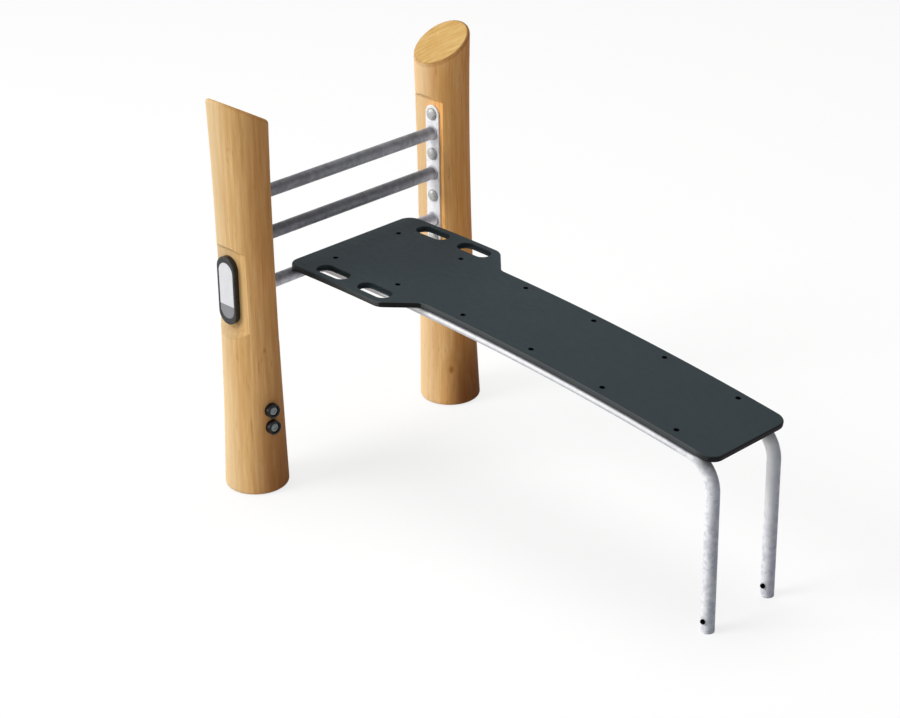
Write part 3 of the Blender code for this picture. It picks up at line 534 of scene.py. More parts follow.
@dataclass(frozen=True)
class Timber:
    """Sanded log: long fine fibres, faint rings and a few knots, with painted shade that makes it browner on
    its lee side and towards its foot.

    The sawn top has saw lines and a tint of its own. The flat that faces the camera has a tint of painted
    light: lighter on the far post and darker on the near one. The rim below the sawn top has painted shade,
    most on its lee side. The lit side is painted paler, and a painted gain round the post lightens the faces
    that turn side-on to the light. The slant is painted extra light on the lit side and shade on the lee
    side, low down and high up.
    """
    side: Side
    ring_turn: float
    seed: float
    knots: tuple[Knot, ...]
    flat: Flat
    # Painted light on the flat that faces the camera, as a tint
    dull: Colour
    slant: tuple[float, float]
    pale: Colour = (0.84, 0.595, 0.30)
    honey: Colour = (0.72, 0.45, 0.19)
    amber: Colour = (0.61, 0.335, 0.115)
    brown: Colour = (0.44, 0.21, 0.065)
    # Tints of painted light on the lit side, and of painted shade on the lee side, the foot and the rim
    bleached: Colour = (0.88, 0.71, 0.45)
    toasted: Colour = (0.94, 0.76, 0.65)
    stained: Colour = (0.60, 0.50, 0.44)
    fresh: Colour = (0.86, 0.97, 1.0)
    knotty: Colour = (0.36, 0.11, 0.022)
    post_radius: float = 0.082
    ring_pitch: float = 0.017
    fibre_stretch: float = 34
    streak_stretch: float = 16
    pore_stretch: float = 13
    slow_stretch: float = 7
    knot_stretch: float = 1.7
    saw_teeth: float = 0.012
    stain_height: float = 0.42
    streaks: Grain = (62, 5, 0.65)
    bends: Grain = (5, 3, 0.5)
    fibres: Grain = (240, 6, 0.7)
    broad_tones: Grain = (13, 4, 0.6)
    saw_lines: Grain = (190, 3, 0.6)
    pores: Grain = (170, 2, 0.5)
    hairs: Grain = (900, 3, 0.6)
    flat_edge: Fade = (0.0004, 0.0012, 1, 0)
    sawn_edge: Fade = (-0.0055, -0.0008, 0, 1)
    sawn_tone: Fade = (0, 1, -0.08, 0.09)
    lit_fade: Fade = (0.15, 1.0, 0, 0.5)
    # A painted gain of light and shade round the post
    glow_middle: float = -0.2
    glow_fade: Fade = (0, 1.1, 1.22, 0.82)
    sawn_dimming: float = 0.2
    slant_heights: tuple[float, float] = (0.3, 0.7)
    flat_fade: Fade = (-0.045, 0.035, 0.1, 1)
    lee_fade: Fade = (0.2, -0.9, 0, 1)
    foot_fade: Fade = (0.35, -0.6, 0, 1)
    rim_start: Fade = (-0.013, -0.005, 0, 1)
    rim_end: Fade = (-0.0012, -0.0001, 1, 0)
    rim_fade: Fade = (1.0, -0.2, 0.3, 0.8)
    pore_fade: Fade = (0.64, 0.74, 0, 0.5)
    roughness: Fade = (0.3, 0.7, 0.6, 0.75)

    @property
    def centre(self) -> Point:
        """The middle of the post's foot."""
        return (POST_PLANE, self.side.value * POST_REACH, 0)

    def flat_face(self, across: Field, height: Field) -> Field:
        """A share that is one on the flat that faces the camera, and on its sloping ends.

        Args:
            across: distance from the post's middle across the bench.
            height: above the ground.

        Returns:
            The share.
        """
        beyond = (self.flat.low - height).at_least(0) + (height - self.flat.high).at_least(0)
        off = abs(across + self.flat.setback + beyond / math.tan(self.flat.end_slope))
        return off.spread(*self.flat_edge)

    def spots(self, sheet: NodeSheet) -> list[tuple[Field, float]]:
        """The knots as fields.

        Args:
            sheet: the node sheet that takes them.

        Returns:
            Pairs of a distance in knot radii and a darkness.
        """
        fields = []
        for knot in self.knots:
            bearing = math.radians(knot.bearing)
            reach = Vector((math.cos(bearing), math.sin(bearing), 0)) * self.post_radius
            place = Vector(self.centre) + reach + Vector((0, 0, knot.height))
            size = (knot.radius, knot.radius, knot.radius * self.knot_stretch)
            fields.append((sheet.coordinates(place, 0, size).length(), knot.dark))
        return fields

    def material(self) -> Material:
        """Build the timber's material.

        Returns:
            The material.
        """
        sheet = new_sheet(f"{self.side.label}_post_timber")
        shifted = sheet.coordinates(self.centre, self.ring_turn).moved(self.seed, self.seed, self.seed)
        slow = shifted.stretched(1, 1, 1 / self.slow_stretch)
        grain = shifted.stretched(1, 1, 1 / self.fibre_stretch)
        plain = sheet.coordinates(self.centre)
        across, height = plain.axis(1), plain.axis(2)
        above = height - (across * (self.side.value * math.tan(TOP_SLOPE)) + POST_HEIGHT)
        streak = shifted.stretched(1, 1, 1 / self.streak_stretch).noise(*self.streaks)
        sawn = (above + (streak - 0.5) * self.saw_teeth).spread(*self.sawn_edge)
        round_face = 1 - sawn

        # Rings that bend round the knots, fibres, streaks and saw lines, with shares for each face
        spots = self.spots(sheet)
        bend = slow.noise(*self.bends) * 26
        for distance, dark in spots:
            bend = bend + distance.spread(0, 4.5, 5 * dark, 0)
        waves = {"Vector": grain, "Scale": math.tau / (20 * self.ring_pitch), "Distortion": 1.8, "Detail": 3,
                 "Detail Scale": 1.6, "Phase Offset": bend}
        rings = sheet.take("TexWave", waves, "Fac", bands_direction='X')
        fibre = grain.noise(*self.fibres)
        broad = slow.noise(*self.broad_tones)
        lines = shifted.stretched(1, 0.06, 0.06).noise(*self.saw_lines)
        tone = sawn.spread(*self.sawn_tone)
        for pattern, on_round, on_sawn in ((rings, 0.06, 0.04), (fibre, 0.50, 0.10), (streak, 0.36, 0.10),
                                           (broad, 0.38, 0.30), (lines, 0, 0.55)):
            tone = tone + pattern * sawn.spread(0, 1, on_round, on_sawn)
        colour = tone.ramp((0.36, self.pale), (0.54, self.honey), (0.72, self.amber), (0.90, self.brown))
        colour = colour.tinted(sawn, self.fresh)

        # Painted light and shade: the lit and lee sides, the flat, the foot and the rim
        turned = plain.along(LIT_WAY, self.post_radius)
        # Painted light: the lit side of the round face is mixed towards a pale tint.
        colour = colour.mixed(turned.spread(*self.lit_fade) * round_face, self.bleached)
        # Painted light and shade: a gain that is highest where the face turns side-on to the light, lower
        # where it faces the light or turns away from it, and less on the sawn top.
        off_middle = abs(turned - self.glow_middle) * round_face
        glow = off_middle.spread(*self.glow_fade) - sawn * self.sawn_dimming
        # Painted light on the lit side and painted shade on the lee side, low down and high up, set by the
        # slant.
        slant = turned * height.spread(*self.slant_heights, *self.slant)
        colour = colour.scaled(glow + slant * round_face)
        # Painted light on the flat that faces the camera: lighter on the far post, darker on the near one.
        flat = self.flat_face(across, height) * plain.axis(0).spread(*self.flat_fade)
        colour = colour.tinted(flat, self.dull)
        # Painted shade: the lee side of the round face is tinted browner.
        colour = colour.tinted(turned.spread(*self.lee_fade) * round_face, self.toasted)
        # Painted shade towards the foot, on the side away from the light.
        foot = height.spread(0, self.stain_height, 1, 0) * turned.spread(*self.foot_fade)
        colour = colour.tinted(foot, self.stained)
        # Painted shade on the rim below the sawn top, most on its lee side.
        rim = above.spread(*self.rim_start) * above.spread(*self.rim_end)
        colour = colour.tinted(rim * turned.spread(*self.rim_fade), self.stained)

        # Pores and knots
        pores = shifted.stretched(1, 1, 1 / self.pore_stretch).noise(*self.pores)
        colour = colour.mixed(pores.spread(*self.pore_fade) * round_face, self.brown)
        for distance, dark in spots:
            colour = colour.mixed(distance.spread(0.9, 3.2, 0.35 * dark, 0), self.amber)
            colour = colour.mixed(distance.spread(0.35, 1.3, 0.8 * dark, 0), self.knotty)
        relief = fibre + grain.noise(*self.hairs) * 0.3
        return sheet.finish(Base_Color=colour, Roughness=fibre.spread(*self.roughness),
                            Specular_IOR_Level=0.08, Normal=relief.bump(0.3, 0.0008))


@dataclass(frozen=True)
class Galvanised:
    """Hot-dip zinc: a matt metal with soft grey clouds and a faint spangle.

    A tube that has a leg gets painted light along its rail, and painted shade on the leg's lee side, on the
    rail's underside and under the panel. A share of painted light, set per tube, makes its lit side whiter
    above the foot. A rung has painted light and shade banded round itself: paler below and at its far end.
    """
    name: str
    pale: Colour
    grey: Colour
    leg: Optional[Point] = None
    cleaner: float = 0
    rung: Optional[float] = None
    rung_tint: float = 1
    metallic: float = 0.06
    rough: float = 0.45
    specular: float = 0.2
    # Painted shade on the leg's lee side
    lee: Colour = (0.50, 0.52, 0.58)
    # The white of painted light on a rail's lit parts
    white: Colour = (0.97, 0.975, 0.985)
    # Painted shade under the panel and on a rail's underside
    shade: Colour = (0.09, 0.093, 0.103)
    underside: Colour = (0.62, 0.625, 0.65)
    rung_up: Point = (-0.595, 0, 0.804)
    clouds: Grain = (60, 4, 0.55, 0.1)
    streaks: Grain = (24, 3, 0.5)
    pits: Grain = (420, 4, 0.6)
    run_fade: Fade = (3, 9, 0, 0.65)
    clean_fade: Fade = (-1.0, 0.1, 0, 1)
    clean_heights: tuple[float, float] = (0.12, 0.36)
    fray: float = 0.55
    lee_fade: Fade = (1.2, -0.4, 0, 1)
    underside_depth: Fade = (0.020, 0.027, 0, 1)
    underside_reach: Fade = (-0.12, -0.09, 1, 0)
    bend_depth: Fade = (0, 0.060, 1, 0)
    bend_reach: Fade = (-0.060, -0.020, 0, 1)
    seat_depth: Fade = (0.0105, 0.0165, 0.95, 0)
    # Painted light and shade round a rung and along it
    rung_below: Fade = (0.15, -0.95, 0.58, 2.15)
    rung_above: Fade = (0.5, 1.0, 0, 0.3)
    rung_length: Fade = (-0.15, 0.25, 0.86, 1.08)
    rung_end: Fade = (0.24, 0.33, 0, 0.6)

    def on_rail(self, sheet: NodeSheet, colour: Field, cloud: Field) -> Field:
        """The zinc's colour on a rail and its leg, with painted light and shade.

        Args:
            sheet: the node sheet that takes it.
            colour: the plain zinc's.
            cloud: its clouds, which fray the edge of the painted shade on the lee side.

        Returns:
            The colour.
        """
        turned = sheet.coordinates(self.leg).along(LIT_WAY, TUBE_RADIUS)
        # Painted light: the rail away from its leg is mixed towards white.
        colour = colour.mixed(turned.spread(*self.run_fade), self.white)
        raised = sheet.coordinates().axis(2)
        # Painted light: a share of white makes the lit side whiter above the foot.
        lit_lift_share = turned.spread(*self.clean_fade) * raised.spread(*self.clean_heights, 0, self.cleaner)
        colour = colour.mixed(lit_lift_share, self.white)
        # Painted shade on the leg's lee side, its edge frayed by the clouds.
        colour = colour.tinted((turned + cloud * self.fray).spread(*self.lee_fade), self.lee)
        past_bend = sheet.coordinates(self.leg).axis(0)
        spoke = sheet.coordinates(ARCH.centre + Vector((POST_PLANE, 0, 0))).stretched(1, 0, 1)
        depth = ARCH.radius - PANEL_THICKNESS - spoke.length()
        # Painted shade on the rail's underside.
        low = depth.spread(*self.underside_depth) * past_bend.spread(*self.underside_reach)
        colour = colour.tinted(low, self.underside)
        # Painted shade under the panel: the top of the bend and the rail just below the panel's edge.
        covered = depth.spread(*self.bend_depth) * past_bend.spread(*self.bend_reach)
        return colour.tinted(covered.at_least(depth.spread(*self.seat_depth)), self.shade)

    def on_rung(self, sheet: NodeSheet, colour: Field) -> Field:
        """The zinc's colour on a rung, with painted light and shade.

        Args:
            sheet: the node sheet that takes it.
            colour: the plain zinc's.

        Returns:
            The colour.
        """
        turned = sheet.coordinates((POST_PLANE, 0, self.rung)).along(self.rung_up, TUBE_RADIUS)
        # Painted light and shade round the rung: darker above, much paler below and a little lighter at its
        # upper edge.
        band = turned.spread(*self.rung_below) + turned.spread(*self.rung_above)
        reach = sheet.coordinates().axis(1)
        # Painted light along the rung: darker at its near end and paler at its far end.
        lengthwise = reach.spread(*self.rung_length) + reach.spread(*self.rung_end)
        # Each rung's own factor of painted light scales the whole.
        return colour.scaled(band * (lengthwise * self.rung_tint))

    def material(self) -> Material:
        """Build the zinc's material.

        Returns:
            The material.
        """
        sheet = new_sheet(self.name)
        place = sheet.coordinates()
        cells = sheet.take("TexVoronoi", {"Vector": place, "Scale": 85, "Randomness": 1}, "Color")
        spangle = sheet.take("SeparateColor", {0: cells})
        cloud = place.noise(*self.clouds)
        streak = place.stretched(1, 1, 0.45).noise(*self.streaks)
        tone = cloud * 0.75 + spangle * 0.12 + streak * 0.35
        colour = tone.ramp((0.51, self.pale), (0.72, self.grey))
        if self.leg is not None:
            colour = self.on_rail(sheet, colour, cloud)
        if self.rung is not None:
            colour = self.on_rung(sheet, colour)
        relief = cloud * 0.8 + place.noise(*self.pits) * 0.2
        return sheet.finish(Base_Color=colour, Metallic=self.metallic,
                            Roughness=tone.spread(0.35, 0.75, self.rough - 0.07, self.rough + 0.1),
                            Specular_IOR_Level=self.specular, Normal=relief.bump(0.12, 0.0006))


@dataclass(frozen=True)
class Moulded:
    """Plastic or paint with a fine grain in its surface and a slight change of tone.

    It can have painted shade at its ends, given as four places along the bench: where the rear shade starts
    to fade and has gone, and where the front shade sets in and is full.
    """
    name: str
    colour: Colour
    rough: float
    grain_scale: float
    grain_depth: float
    tone_change: float = 0.10
    specular: float = 0.5
    sheltered: Optional[tuple[float, float, float, float]] = None
    shelter: Colour = (0.42, 0.41, 0.40)

    def material(self) -> Material:
        """Build the moulded finish.

        Returns:
            The material.
        """
        sheet = new_sheet(self.name)
        place = sheet.coordinates()
        pebble = place.noise(self.grain_scale, 3, 0.5)
        broad = place.noise(7, 4, 0.6)
        scuff = place.stretched(0.3, 1, 1).noise(120, 5, 0.7)
        colour = (broad * 0.7 + scuff * 0.3).ramp((0.35, toned(self.colour, 1 - self.tone_change)),
                                                  (0.65, toned(self.colour, 1 + self.tone_change)))
        if self.sheltered is not None:
            # Painted shade towards both ends of the bench.
            rear, rear_end, front, front_end = self.sheltered
            along = place.axis(0)
            share = along.spread(rear, rear_end, 1, 0) + along.spread(front, front_end, 0, 1)
            colour = colour.tinted(share, self.shelter)
        return sheet.finish(Base_Color=colour,
                            Roughness=scuff.spread(0.3, 0.7, self.rough - 0.05, self.rough + 0.06),
                            Specular_IOR_Level=self.specular, Normal=pebble.bump(0.5, self.grain_depth))


@dataclass(frozen=True)
class Turned:
    """Plain fastener metal with a matt, slightly uneven surface."""
    name: str
    colour: Colour
    metallic: float
    rough: float
    specular: float = 0.4

    def material(self) -> Material:
        """Build the fastener's metal.

        Returns:
            The material.
        """
        sheet = new_sheet(self.name)
        patch = sheet.coordinates().noise(160, 5, 0.6)
        colour = patch.ramp((0.35, toned(self.colour, 0.82)), (0.65, toned(self.colour, 1.16)))
        return sheet.finish(Base_Color=colour, Metallic=self.metallic,
                            Roughness=patch.spread(0.3, 0.7, self.rough - 0.06, self.rough + 0.08),
                            Specular_IOR_Level=self.specular, Normal=patch.bump(0.15, 0.0003))


@dataclass(frozen=True)
class SignFace:
    """A bare pale face with a plain grey field at its foot and light wear."""
    name: str
    field_top: float
    soft_edge: float = 0.0006
    white: Colour = (0.67, 0.675, 0.70)
    grey: Colour = (0.225, 0.23, 0.245)

    def material(self) -> Material:
        """Build the sign's face.

        Returns:
            The material.
        """
        sheet = new_sheet(self.name)
        place = sheet.coordinates()
        below = place.axis(2).spread(self.field_top - self.soft_edge, self.field_top + self.soft_edge, 1, 0)
        wear = place.noise(55, 6, 0.65)
        white = wear.ramp((0.3, toned(self.white, 0.93)), (0.7, self.white))
        grey = wear.ramp((0.3, toned(self.grey, 0.8)), (0.7, self.grey))
        return sheet.finish(Base_Color=white.mixed(below, grey), Roughness=wear.spread(0.3, 0.7, 0.3, 0.42),
                            Normal=wear.bump(0.05, 0.0004))


class Finishes:
    """Every material of the bench but its timber's and its sign face's, made once."""

    def __init__(self) -> None:
        """Build all finishes."""
        pale, grey = (0.92, 0.925, 0.95), (0.66, 0.67, 0.725)
        # The far rail gets a share of painted light on its lit side above the foot.
        self.rails = {side: Galvanised(f"galvanised_{side.label}_rail", pale, grey, Rail(side).foot,
                                       0.8 if side is Side.FAR else 0).material() for side in Side}
        pale, grey = (0.245, 0.248, 0.275), (0.175, 0.178, 0.200)
        # Painted light: each rung is made lighter or darker as a whole.
        rung_lights = {"top_rung": 1, "middle_rung": 0.92, "bottom_rung": 1.6}
        self.rungs = {node: Galvanised(f"galvanised_{node}", pale, grey, rung=height, rung_tint=rung_lights[node],
                                       rough=0.4).material() for node, height in RUNG_HEIGHTS.items()}
        self.weld = Galvanised("galvanised_weld", (0.52, 0.53, 0.56), (0.40, 0.405, 0.43)).material()
        self.plate = Galvanised("galvanised_plate", (0.92, 0.925, 0.94), (0.78, 0.785, 0.82)).material()
        self.zinc = Turned("zinc_fastener", (0.46, 0.465, 0.46), 0.15, 0.30, 0.5).material()
        self.bright = Turned("bright_steel", (0.55, 0.56, 0.57), 0.9, 0.32).material()
        self.cup_bolt = Turned("cup_fastener", (0.205, 0.23, 0.235), 0.35, 0.31).material()
        self.black_bolt = Turned("black_fastener", (0.002, 0.002, 0.002), 0, 0.6, 0).material()
        self.panel = Moulded("slate_panel", (0.0236, 0.0337, 0.0388), 0.55, 620, 0.0006, 0.05,
                             0.08).material()
        # Painted light on the panel's sides, and painted shade on its end and underside edges, as finishes of
        # their own
        self.panel_edge = Moulded("slate_panel_edge", (0.057, 0.062, 0.065), 0.5, 620, 0.0004, 0.1, 0.12,
                                  (-0.68, -0.20, 0.735, 0.765)).material()
        self.panel_end = Moulded("slate_panel_end", (0.0125, 0.0125, 0.0130), 0.5, 620, 0.0004, 0.1,
                                 0.06).material()
        self.black_plastic = Moulded("black_plastic", (0.019, 0.020, 0.021), 0.3, 900, 0.0003, 0.1,
                                     0.35).material()
        self.black_cap = Moulded("black_cap", (0.004, 0.005, 0.006), 0.22, 900, 0.0002, 0.1, 0.22).material()


# Shared shapes


@dataclass(frozen=True)
class Arch:
    """The long arch that the panel and the rails follow."""
    radius: float = 9.188
    crown_height: float = 0.6446
    crown_reach: float = 0.0146
    tail: float = 0.023

    @property
    def centre(self) -> Vector:
        """The arch's centre, far below the bench."""
        return Vector((self.crown_reach, 0, self.crown_height - self.radius))

    def frame(self, place: float, across: float) -> Matrix:
        """Frame on the panel's top face, +Z square to it.

        Args:
            place: distance from the panel's rear edge along the arch.
            across: distance from the bench's middle.

        Returns:
            The frame.
        """
        turn = Matrix.Rotation((place - self.tail) / self.radius, 4, 'Y')
        reach = turn @ Vector((0, 0, self.radius))
        return Matrix.Translation(self.centre + reach + Vector((0, across, 0))) @ turn


@dataclass(frozen=True)
class Screw:
    """A screw with a domed head, its head standing on height zero."""
    shank: float
    length: float
    tip: float
    head: float
    rise: float
    rim: float
    dome_steps: int = 8
    dish: float = 0

    def profile(self) -> Profile:
        """The screw's own profile, dished in the middle of its head if it has a dish radius.

        Returns:
            The profile.
        """
        dome = []
        for k in range(self.dome_steps):
            angle = QUARTER * k / self.dome_steps
            dome.append((self.head * math.cos(angle), self.rim + (self.rise - self.rim) * math.sin(angle)))
        middle = [(0, self.rise)]
        if self.dish > 0:
            dome = [point for point in dome if point[0] > self.dish * 1.15]
            middle = [(self.dish, dome[-1][1]), (self.dish * 0.85, self.rim), (0, self.rim)]
        return [(0, -self.length), (self.shank, self.tip - self.length), (self.shank, 0),
                (self.head - CLEARANCE, 0), (self.head, CLEARANCE), *dome, *middle]

    def bore(self) -> Profile:
        """The hole that it leaves, open above height zero."""
        radius, low = self.shank + CLEARANCE, -self.length - CLEARANCE
        return [(0, low), (radius, self.tip + low), (radius, OVERRUN), (0, OVERRUN)]

    def present(self, steps: int, place: Matrix, node: str, finish: Material) -> None:
        """Build and dress the screw.

        Args:
            steps: how many facets go round.
            place: the frame of its head.
            node: the CAD node that it stands for.
            finish: its material.
        """
        present(spun("screw", self.profile(), steps, place), f"{node}_domed", finish, node, sharp=50)


@dataclass(frozen=True)
class TubeStock:
    """The round tube of the rungs, rails and legs."""
    radius: float = TUBE_RADIUS
    wall: float = 0.0026
    sides: int = 48

    def start(self, bm: BMesh, place: Matrix) -> list:
        """The annular end face of a tube.

        Args:
            bm: an empty bmesh.
            place: the end's frame.

        Returns:
            The end's geometry, ready to be spun or extruded.
        """
        bmesh.ops.create_circle(bm, cap_ends=True, segments=self.sides, radius=self.radius, matrix=place)
        disc = bm.faces[:]
        bmesh.ops.inset_region(bm, faces=disc, thickness=self.wall, use_boundary=True, use_even_offset=True)
        bmesh.ops.delete(bm, geom=disc, context='FACES')
        return everything(bm)


TUBE = TubeStock()
ARCH = Arch()
PLATE_SCREW = Screw(0.006, 0.075, 0.010, 0.0185, 0.0095, 0.0030, 10)


@dataclass(frozen=True)
class WeldBead:
    """A rippled fillet weld round a tube, its section given from the tube's face and the joint."""
    section: Profile = ((0, 0), (0.0036, 0), (0.0034, 0.0013), (0.0024, 0.0027), (0.0011, 0.0036),
                        (0, 0.0038))
    steps: int = 96
    ripples: int = 34
    ripple_depth: float = 0.00022
    still_root: float = 0.0005

    def lay(self, bm: BMesh, place: Matrix, saddle: bool = False) -> None:
        """Lay one bead.

        Args:
            bm: the bmesh that takes the bead.
            place: frame of the joint, +Z along the tube away from the joint.
            saddle: whether the joint's line follows an equal tube across it.
        """
        root = TUBE.radius - CLEARANCE
        new = lathe(bm, [(root + out, height) for out, height in self.section], self.steps, closed=True)
        for vert in new:
            angle = math.atan2(vert.co.y, vert.co.x)
            outward = Vector((math.cos(angle), math.sin(angle), 0))
            if math.hypot(vert.co.x, vert.co.y) > root + self.still_root:
                vert.co += (outward + Vector((0, 0, 1))) * self.ripple_depth * math.sin(self.ripples * angle)
            if saddle:
                vert.co.z += TUBE.radius * abs(math.cos(angle))
        bmesh.ops.transform(bm, matrix=place, verts=new)


# Sub-assemblies


@dataclass(frozen=True)
class PostFixing:
    """A bore in a post: its profile, its facets and its frame."""
    profile: Profile
    place: Matrix
    sides: int = 16


@dataclass
class TimberPost:
    """A round log post: swelling, leaning, sawn aslant, with flats and bores."""
    side: Side
    lean: float
    bow: float
    finish: Timber
    fixings: list[PostFixing]
    outer_flat: bool = False
    height: float = POST_HEIGHT
    slope: float = TOP_SLOPE
    foot_radius: float = 0.0934
    waist_radius: float = 0.0794
    head_radius: float = 0.0839
    waist_height: float = 0.770
    rounding: float = 0.0105
    rim_steps: int = 6
    sides: int = 120
    ring_pitch: float = 0.022
    hollow: float = 0.0009

    @property
    def centre_y(self) -> float:
        """The post's place across the bench."""
        return self.side.value * POST_REACH

    def radius_at(self, height: float) -> float:
        """Radius at a height: a waist that swells towards foot and head.

        Args:
            height: above the ground.

        Returns:
            The radius.
        """
        if height < self.waist_height:
            share = (self.waist_height - height) / self.waist_height
            return self.waist_radius + (self.foot_radius - self.waist_radius) * share ** 2
        share = (height - self.waist_height) / (self.height - self.waist_height)
        return self.waist_radius + (self.head_radius - self.waist_radius) * share ** 2

    def axis_at(self, height: float) -> float:
        """How far the axis lies ahead of the foot at a height."""
        share = height / self.height
        return self.lean * share + 4 * self.bow * share * (1 - share)

    def hollow_at(self, around: Vector, level: float) -> float:
        """How far the uneven face lies inside the plain round one.

        Args:
            around: the way outwards.
            level: above the ground.

        Returns:
            The depth.
        """
        uneven = noise.noise(Vector((around.x * 1.6, around.y * 1.6, level * 5 + self.finish.seed)))
        flute = noise.noise(Vector((around.x * 5, around.y * 5, level * 1.5 - self.finish.seed)))
        return self.hollow * (0.5 + 0.35 * uneven + 0.15 * flute)

    def log(self) -> Mesh:
        """The sawn log with its rounded rims and a slightly uneven face.

        Returns:
            The mesh.
        """
        drop = math.tan(self.slope) * self.head_radius
        low, high = 2 * self.rounding, self.height - drop - 3 * self.rounding
        count = round((high - low) / self.ring_pitch)
        heights = [0] + [low + (high - low) * k / count for k in range(count + 1)]
        heights.append(self.height + drop + 2 * OVERRUN)
        bm = bmesh.new()
        bmesh.ops.create_cone(bm, cap_ends=True, segments=self.sides, radius1=1, radius2=1, depth=1,
                              matrix=Matrix.Translation((0, 0, 0.5)))
        upright = [edge for edge in bm.edges if abs(edge.verts[0].co.z - edge.verts[1].co.z) > 0.5]
        bmesh.ops.subdivide_edges(bm, edges=upright, cuts=len(heights) - 2)
        for vert in bm.verts:
            level = heights[round(vert.co.z * (len(heights) - 1))]
            around = Vector((vert.co.x, vert.co.y, 0)).normalized()
            radius = self.radius_at(level) - self.hollow_at(around, level)
            vert.co = around * radius + Vector((self.axis_at(level), self.centre_y, level))
        top = (self.axis_at(self.height), self.centre_y, self.height)
        normal = (0, -self.side.value * math.sin(self.slope), math.cos(self.slope))
        bmesh.ops.bisect_plane(bm, geom=everything(bm), dist=MERGE_DISTANCE, plane_co=top, plane_no=normal,
                               clear_outer=True)
        rim = [edge for edge in bm.edges if edge.is_boundary]
        bmesh.ops.edgeloop_fill(bm, edges=rim)
        foot = [edge for edge in bm.edges if max(vert.co.z for vert in edge.verts) < MERGE_DISTANCE]
        round_off(bm, rim + foot, self.rounding * math.sqrt(2), self.rim_steps, 'WIDTH')
        return to_mesh(bm, "log")

    def flats(self) -> Mesh:
        """The wedges that are sawn off for the flats, with ends that slope out to the round face.

        Returns:
            The mesh.
        """
        bm = bmesh.new()
        reach = self.foot_radius + OVERRUN
        ways = [(INNER_FLAT, -self.side.value)] + [(OUTER_FLAT, self.side.value)] * self.outer_flat
        for flat, facing in ways:
            face_y = self.centre_y + facing * flat.setback
            outside = face_y + facing * reach
            spread = math.tan(flat.end_slope) * reach
            section = [(face_y, flat.low), (outside, flat.low - spread), (outside, flat.high + spread),
                       (face_y, flat.high)]
            end = bm.faces.new([bm.verts.new((-reach, y, z)) for y, z in section])
            push(bm, [end], (2 * reach, 0, 0))
        return to_mesh(bm, "flats")

    def build(self) -> None:
        """Build and dress the post."""
        mesh = cut(self.log(), self.flats())
        holes = bmesh.new()
        for fixing in self.fixings:
            lathe(holes, fixing.profile, fixing.sides, fixing.place)
        mesh = cut(mesh, to_mesh(holes, "post_bores"))
        node = f"{self.side.label}_post"
        present(mesh, f"{node}_timber", self.finish.material(), node, sharp=28, even=True)


@dataclass
class RungPlate:
    """The round-ended steel plate on a post's inner flat, with its four domed screws."""
    side: Side
    front: float = 0.3362
    length: float = 0.447
    width: float = 0.054
    thickness: float = 0.005
    centre_height: float = 0.7455
    rounding: float = 0.0009
    bolt_heights: tuple[float, ...] = (0.549, 0.684, 0.817, 0.942)

    def bolt_frame(self, height: float) -> Matrix:
        """Frame of a screw, its head towards the middle of the bench."""
        return aim((0, -self.side.value, 0), (0, self.side.value * (self.front - CLEARANCE), height))

    def fixings(self) -> list[PostFixing]:
        """The bores that the screws need in the post."""
        return [PostFixing(PLATE_SCREW.bore(), self.bolt_frame(height)) for height in self.bolt_heights]

    def build(self, finishes: Finishes) -> None:
        """Build and dress the plate and its screws.

        Args:
            finishes: the bench's materials.
        """
        r, end = self.rounding, self.width / 2
        profile = [(0, 0), *quarter_round(r, (end - r, r), 3, -QUARTER),
                   *quarter_round(r, (end - r, self.thickness - r), 3, 0), (0, self.thickness)]
        side = self.side.value
        stand = aim((0, -side, 0), (0, side * (self.front + self.thickness), self.centre_height))
        stand @= Matrix.Rotation(QUARTER, 4, 'Z')
        bm = bmesh.new()
        round_ended(bm, profile, 48, self.length, self.width, stand)
        holes = bmesh.new()
        for height in self.bolt_heights:
            lathe(holes, plug(-OVERRUN, OVERRUN, PLATE_SCREW.shank + CLEARANCE), 24, self.bolt_frame(height))
        node = f"{self.side.label}_rung_plate"
        mesh = cut(to_mesh(bm, "plate"), to_mesh(holes, "plate_holes"))
        present(mesh, f"{node}_rounded", finishes.plate, node, even=True)
        for number, height in enumerate(self.bolt_heights, start=1):
            node = f"{self.side.label}_plate_bolt_{number}"
            PLATE_SCREW.present(40, self.bolt_frame(height), node, finishes.zinc)


@dataclass
class Rungs:
    """Three straight tubes from plate to plate, with their welds."""
    half_length: float = 0.3359
    bead: WeldBead = WeldBead()

    def build(self, finishes: Finishes) -> None:
        """Build and dress the rungs and the welds at their ends.

        Args:
            finishes: the bench's materials.
        """
        for node, height in RUNG_HEIGHTS.items():
            bm = bmesh.new()
            end = TUBE.start(bm, aim((0, 1, 0), (0, -self.half_length, height)))
            push(bm, end, (0, 2 * self.half_length, 0))
            present(to_mesh(bm, "rung"), f"{node}_tube", finishes.rungs[node], node)
        for side in Side:
            bm = bmesh.new()
            for height in RUNG_HEIGHTS.values():
                self.bead.lay(bm, aim((0, -side.value, 0), (0, side.value * self.half_length, height)))
            present(to_mesh(bm, "beads"), f"{side.label}_rung_welds", finishes.weld)


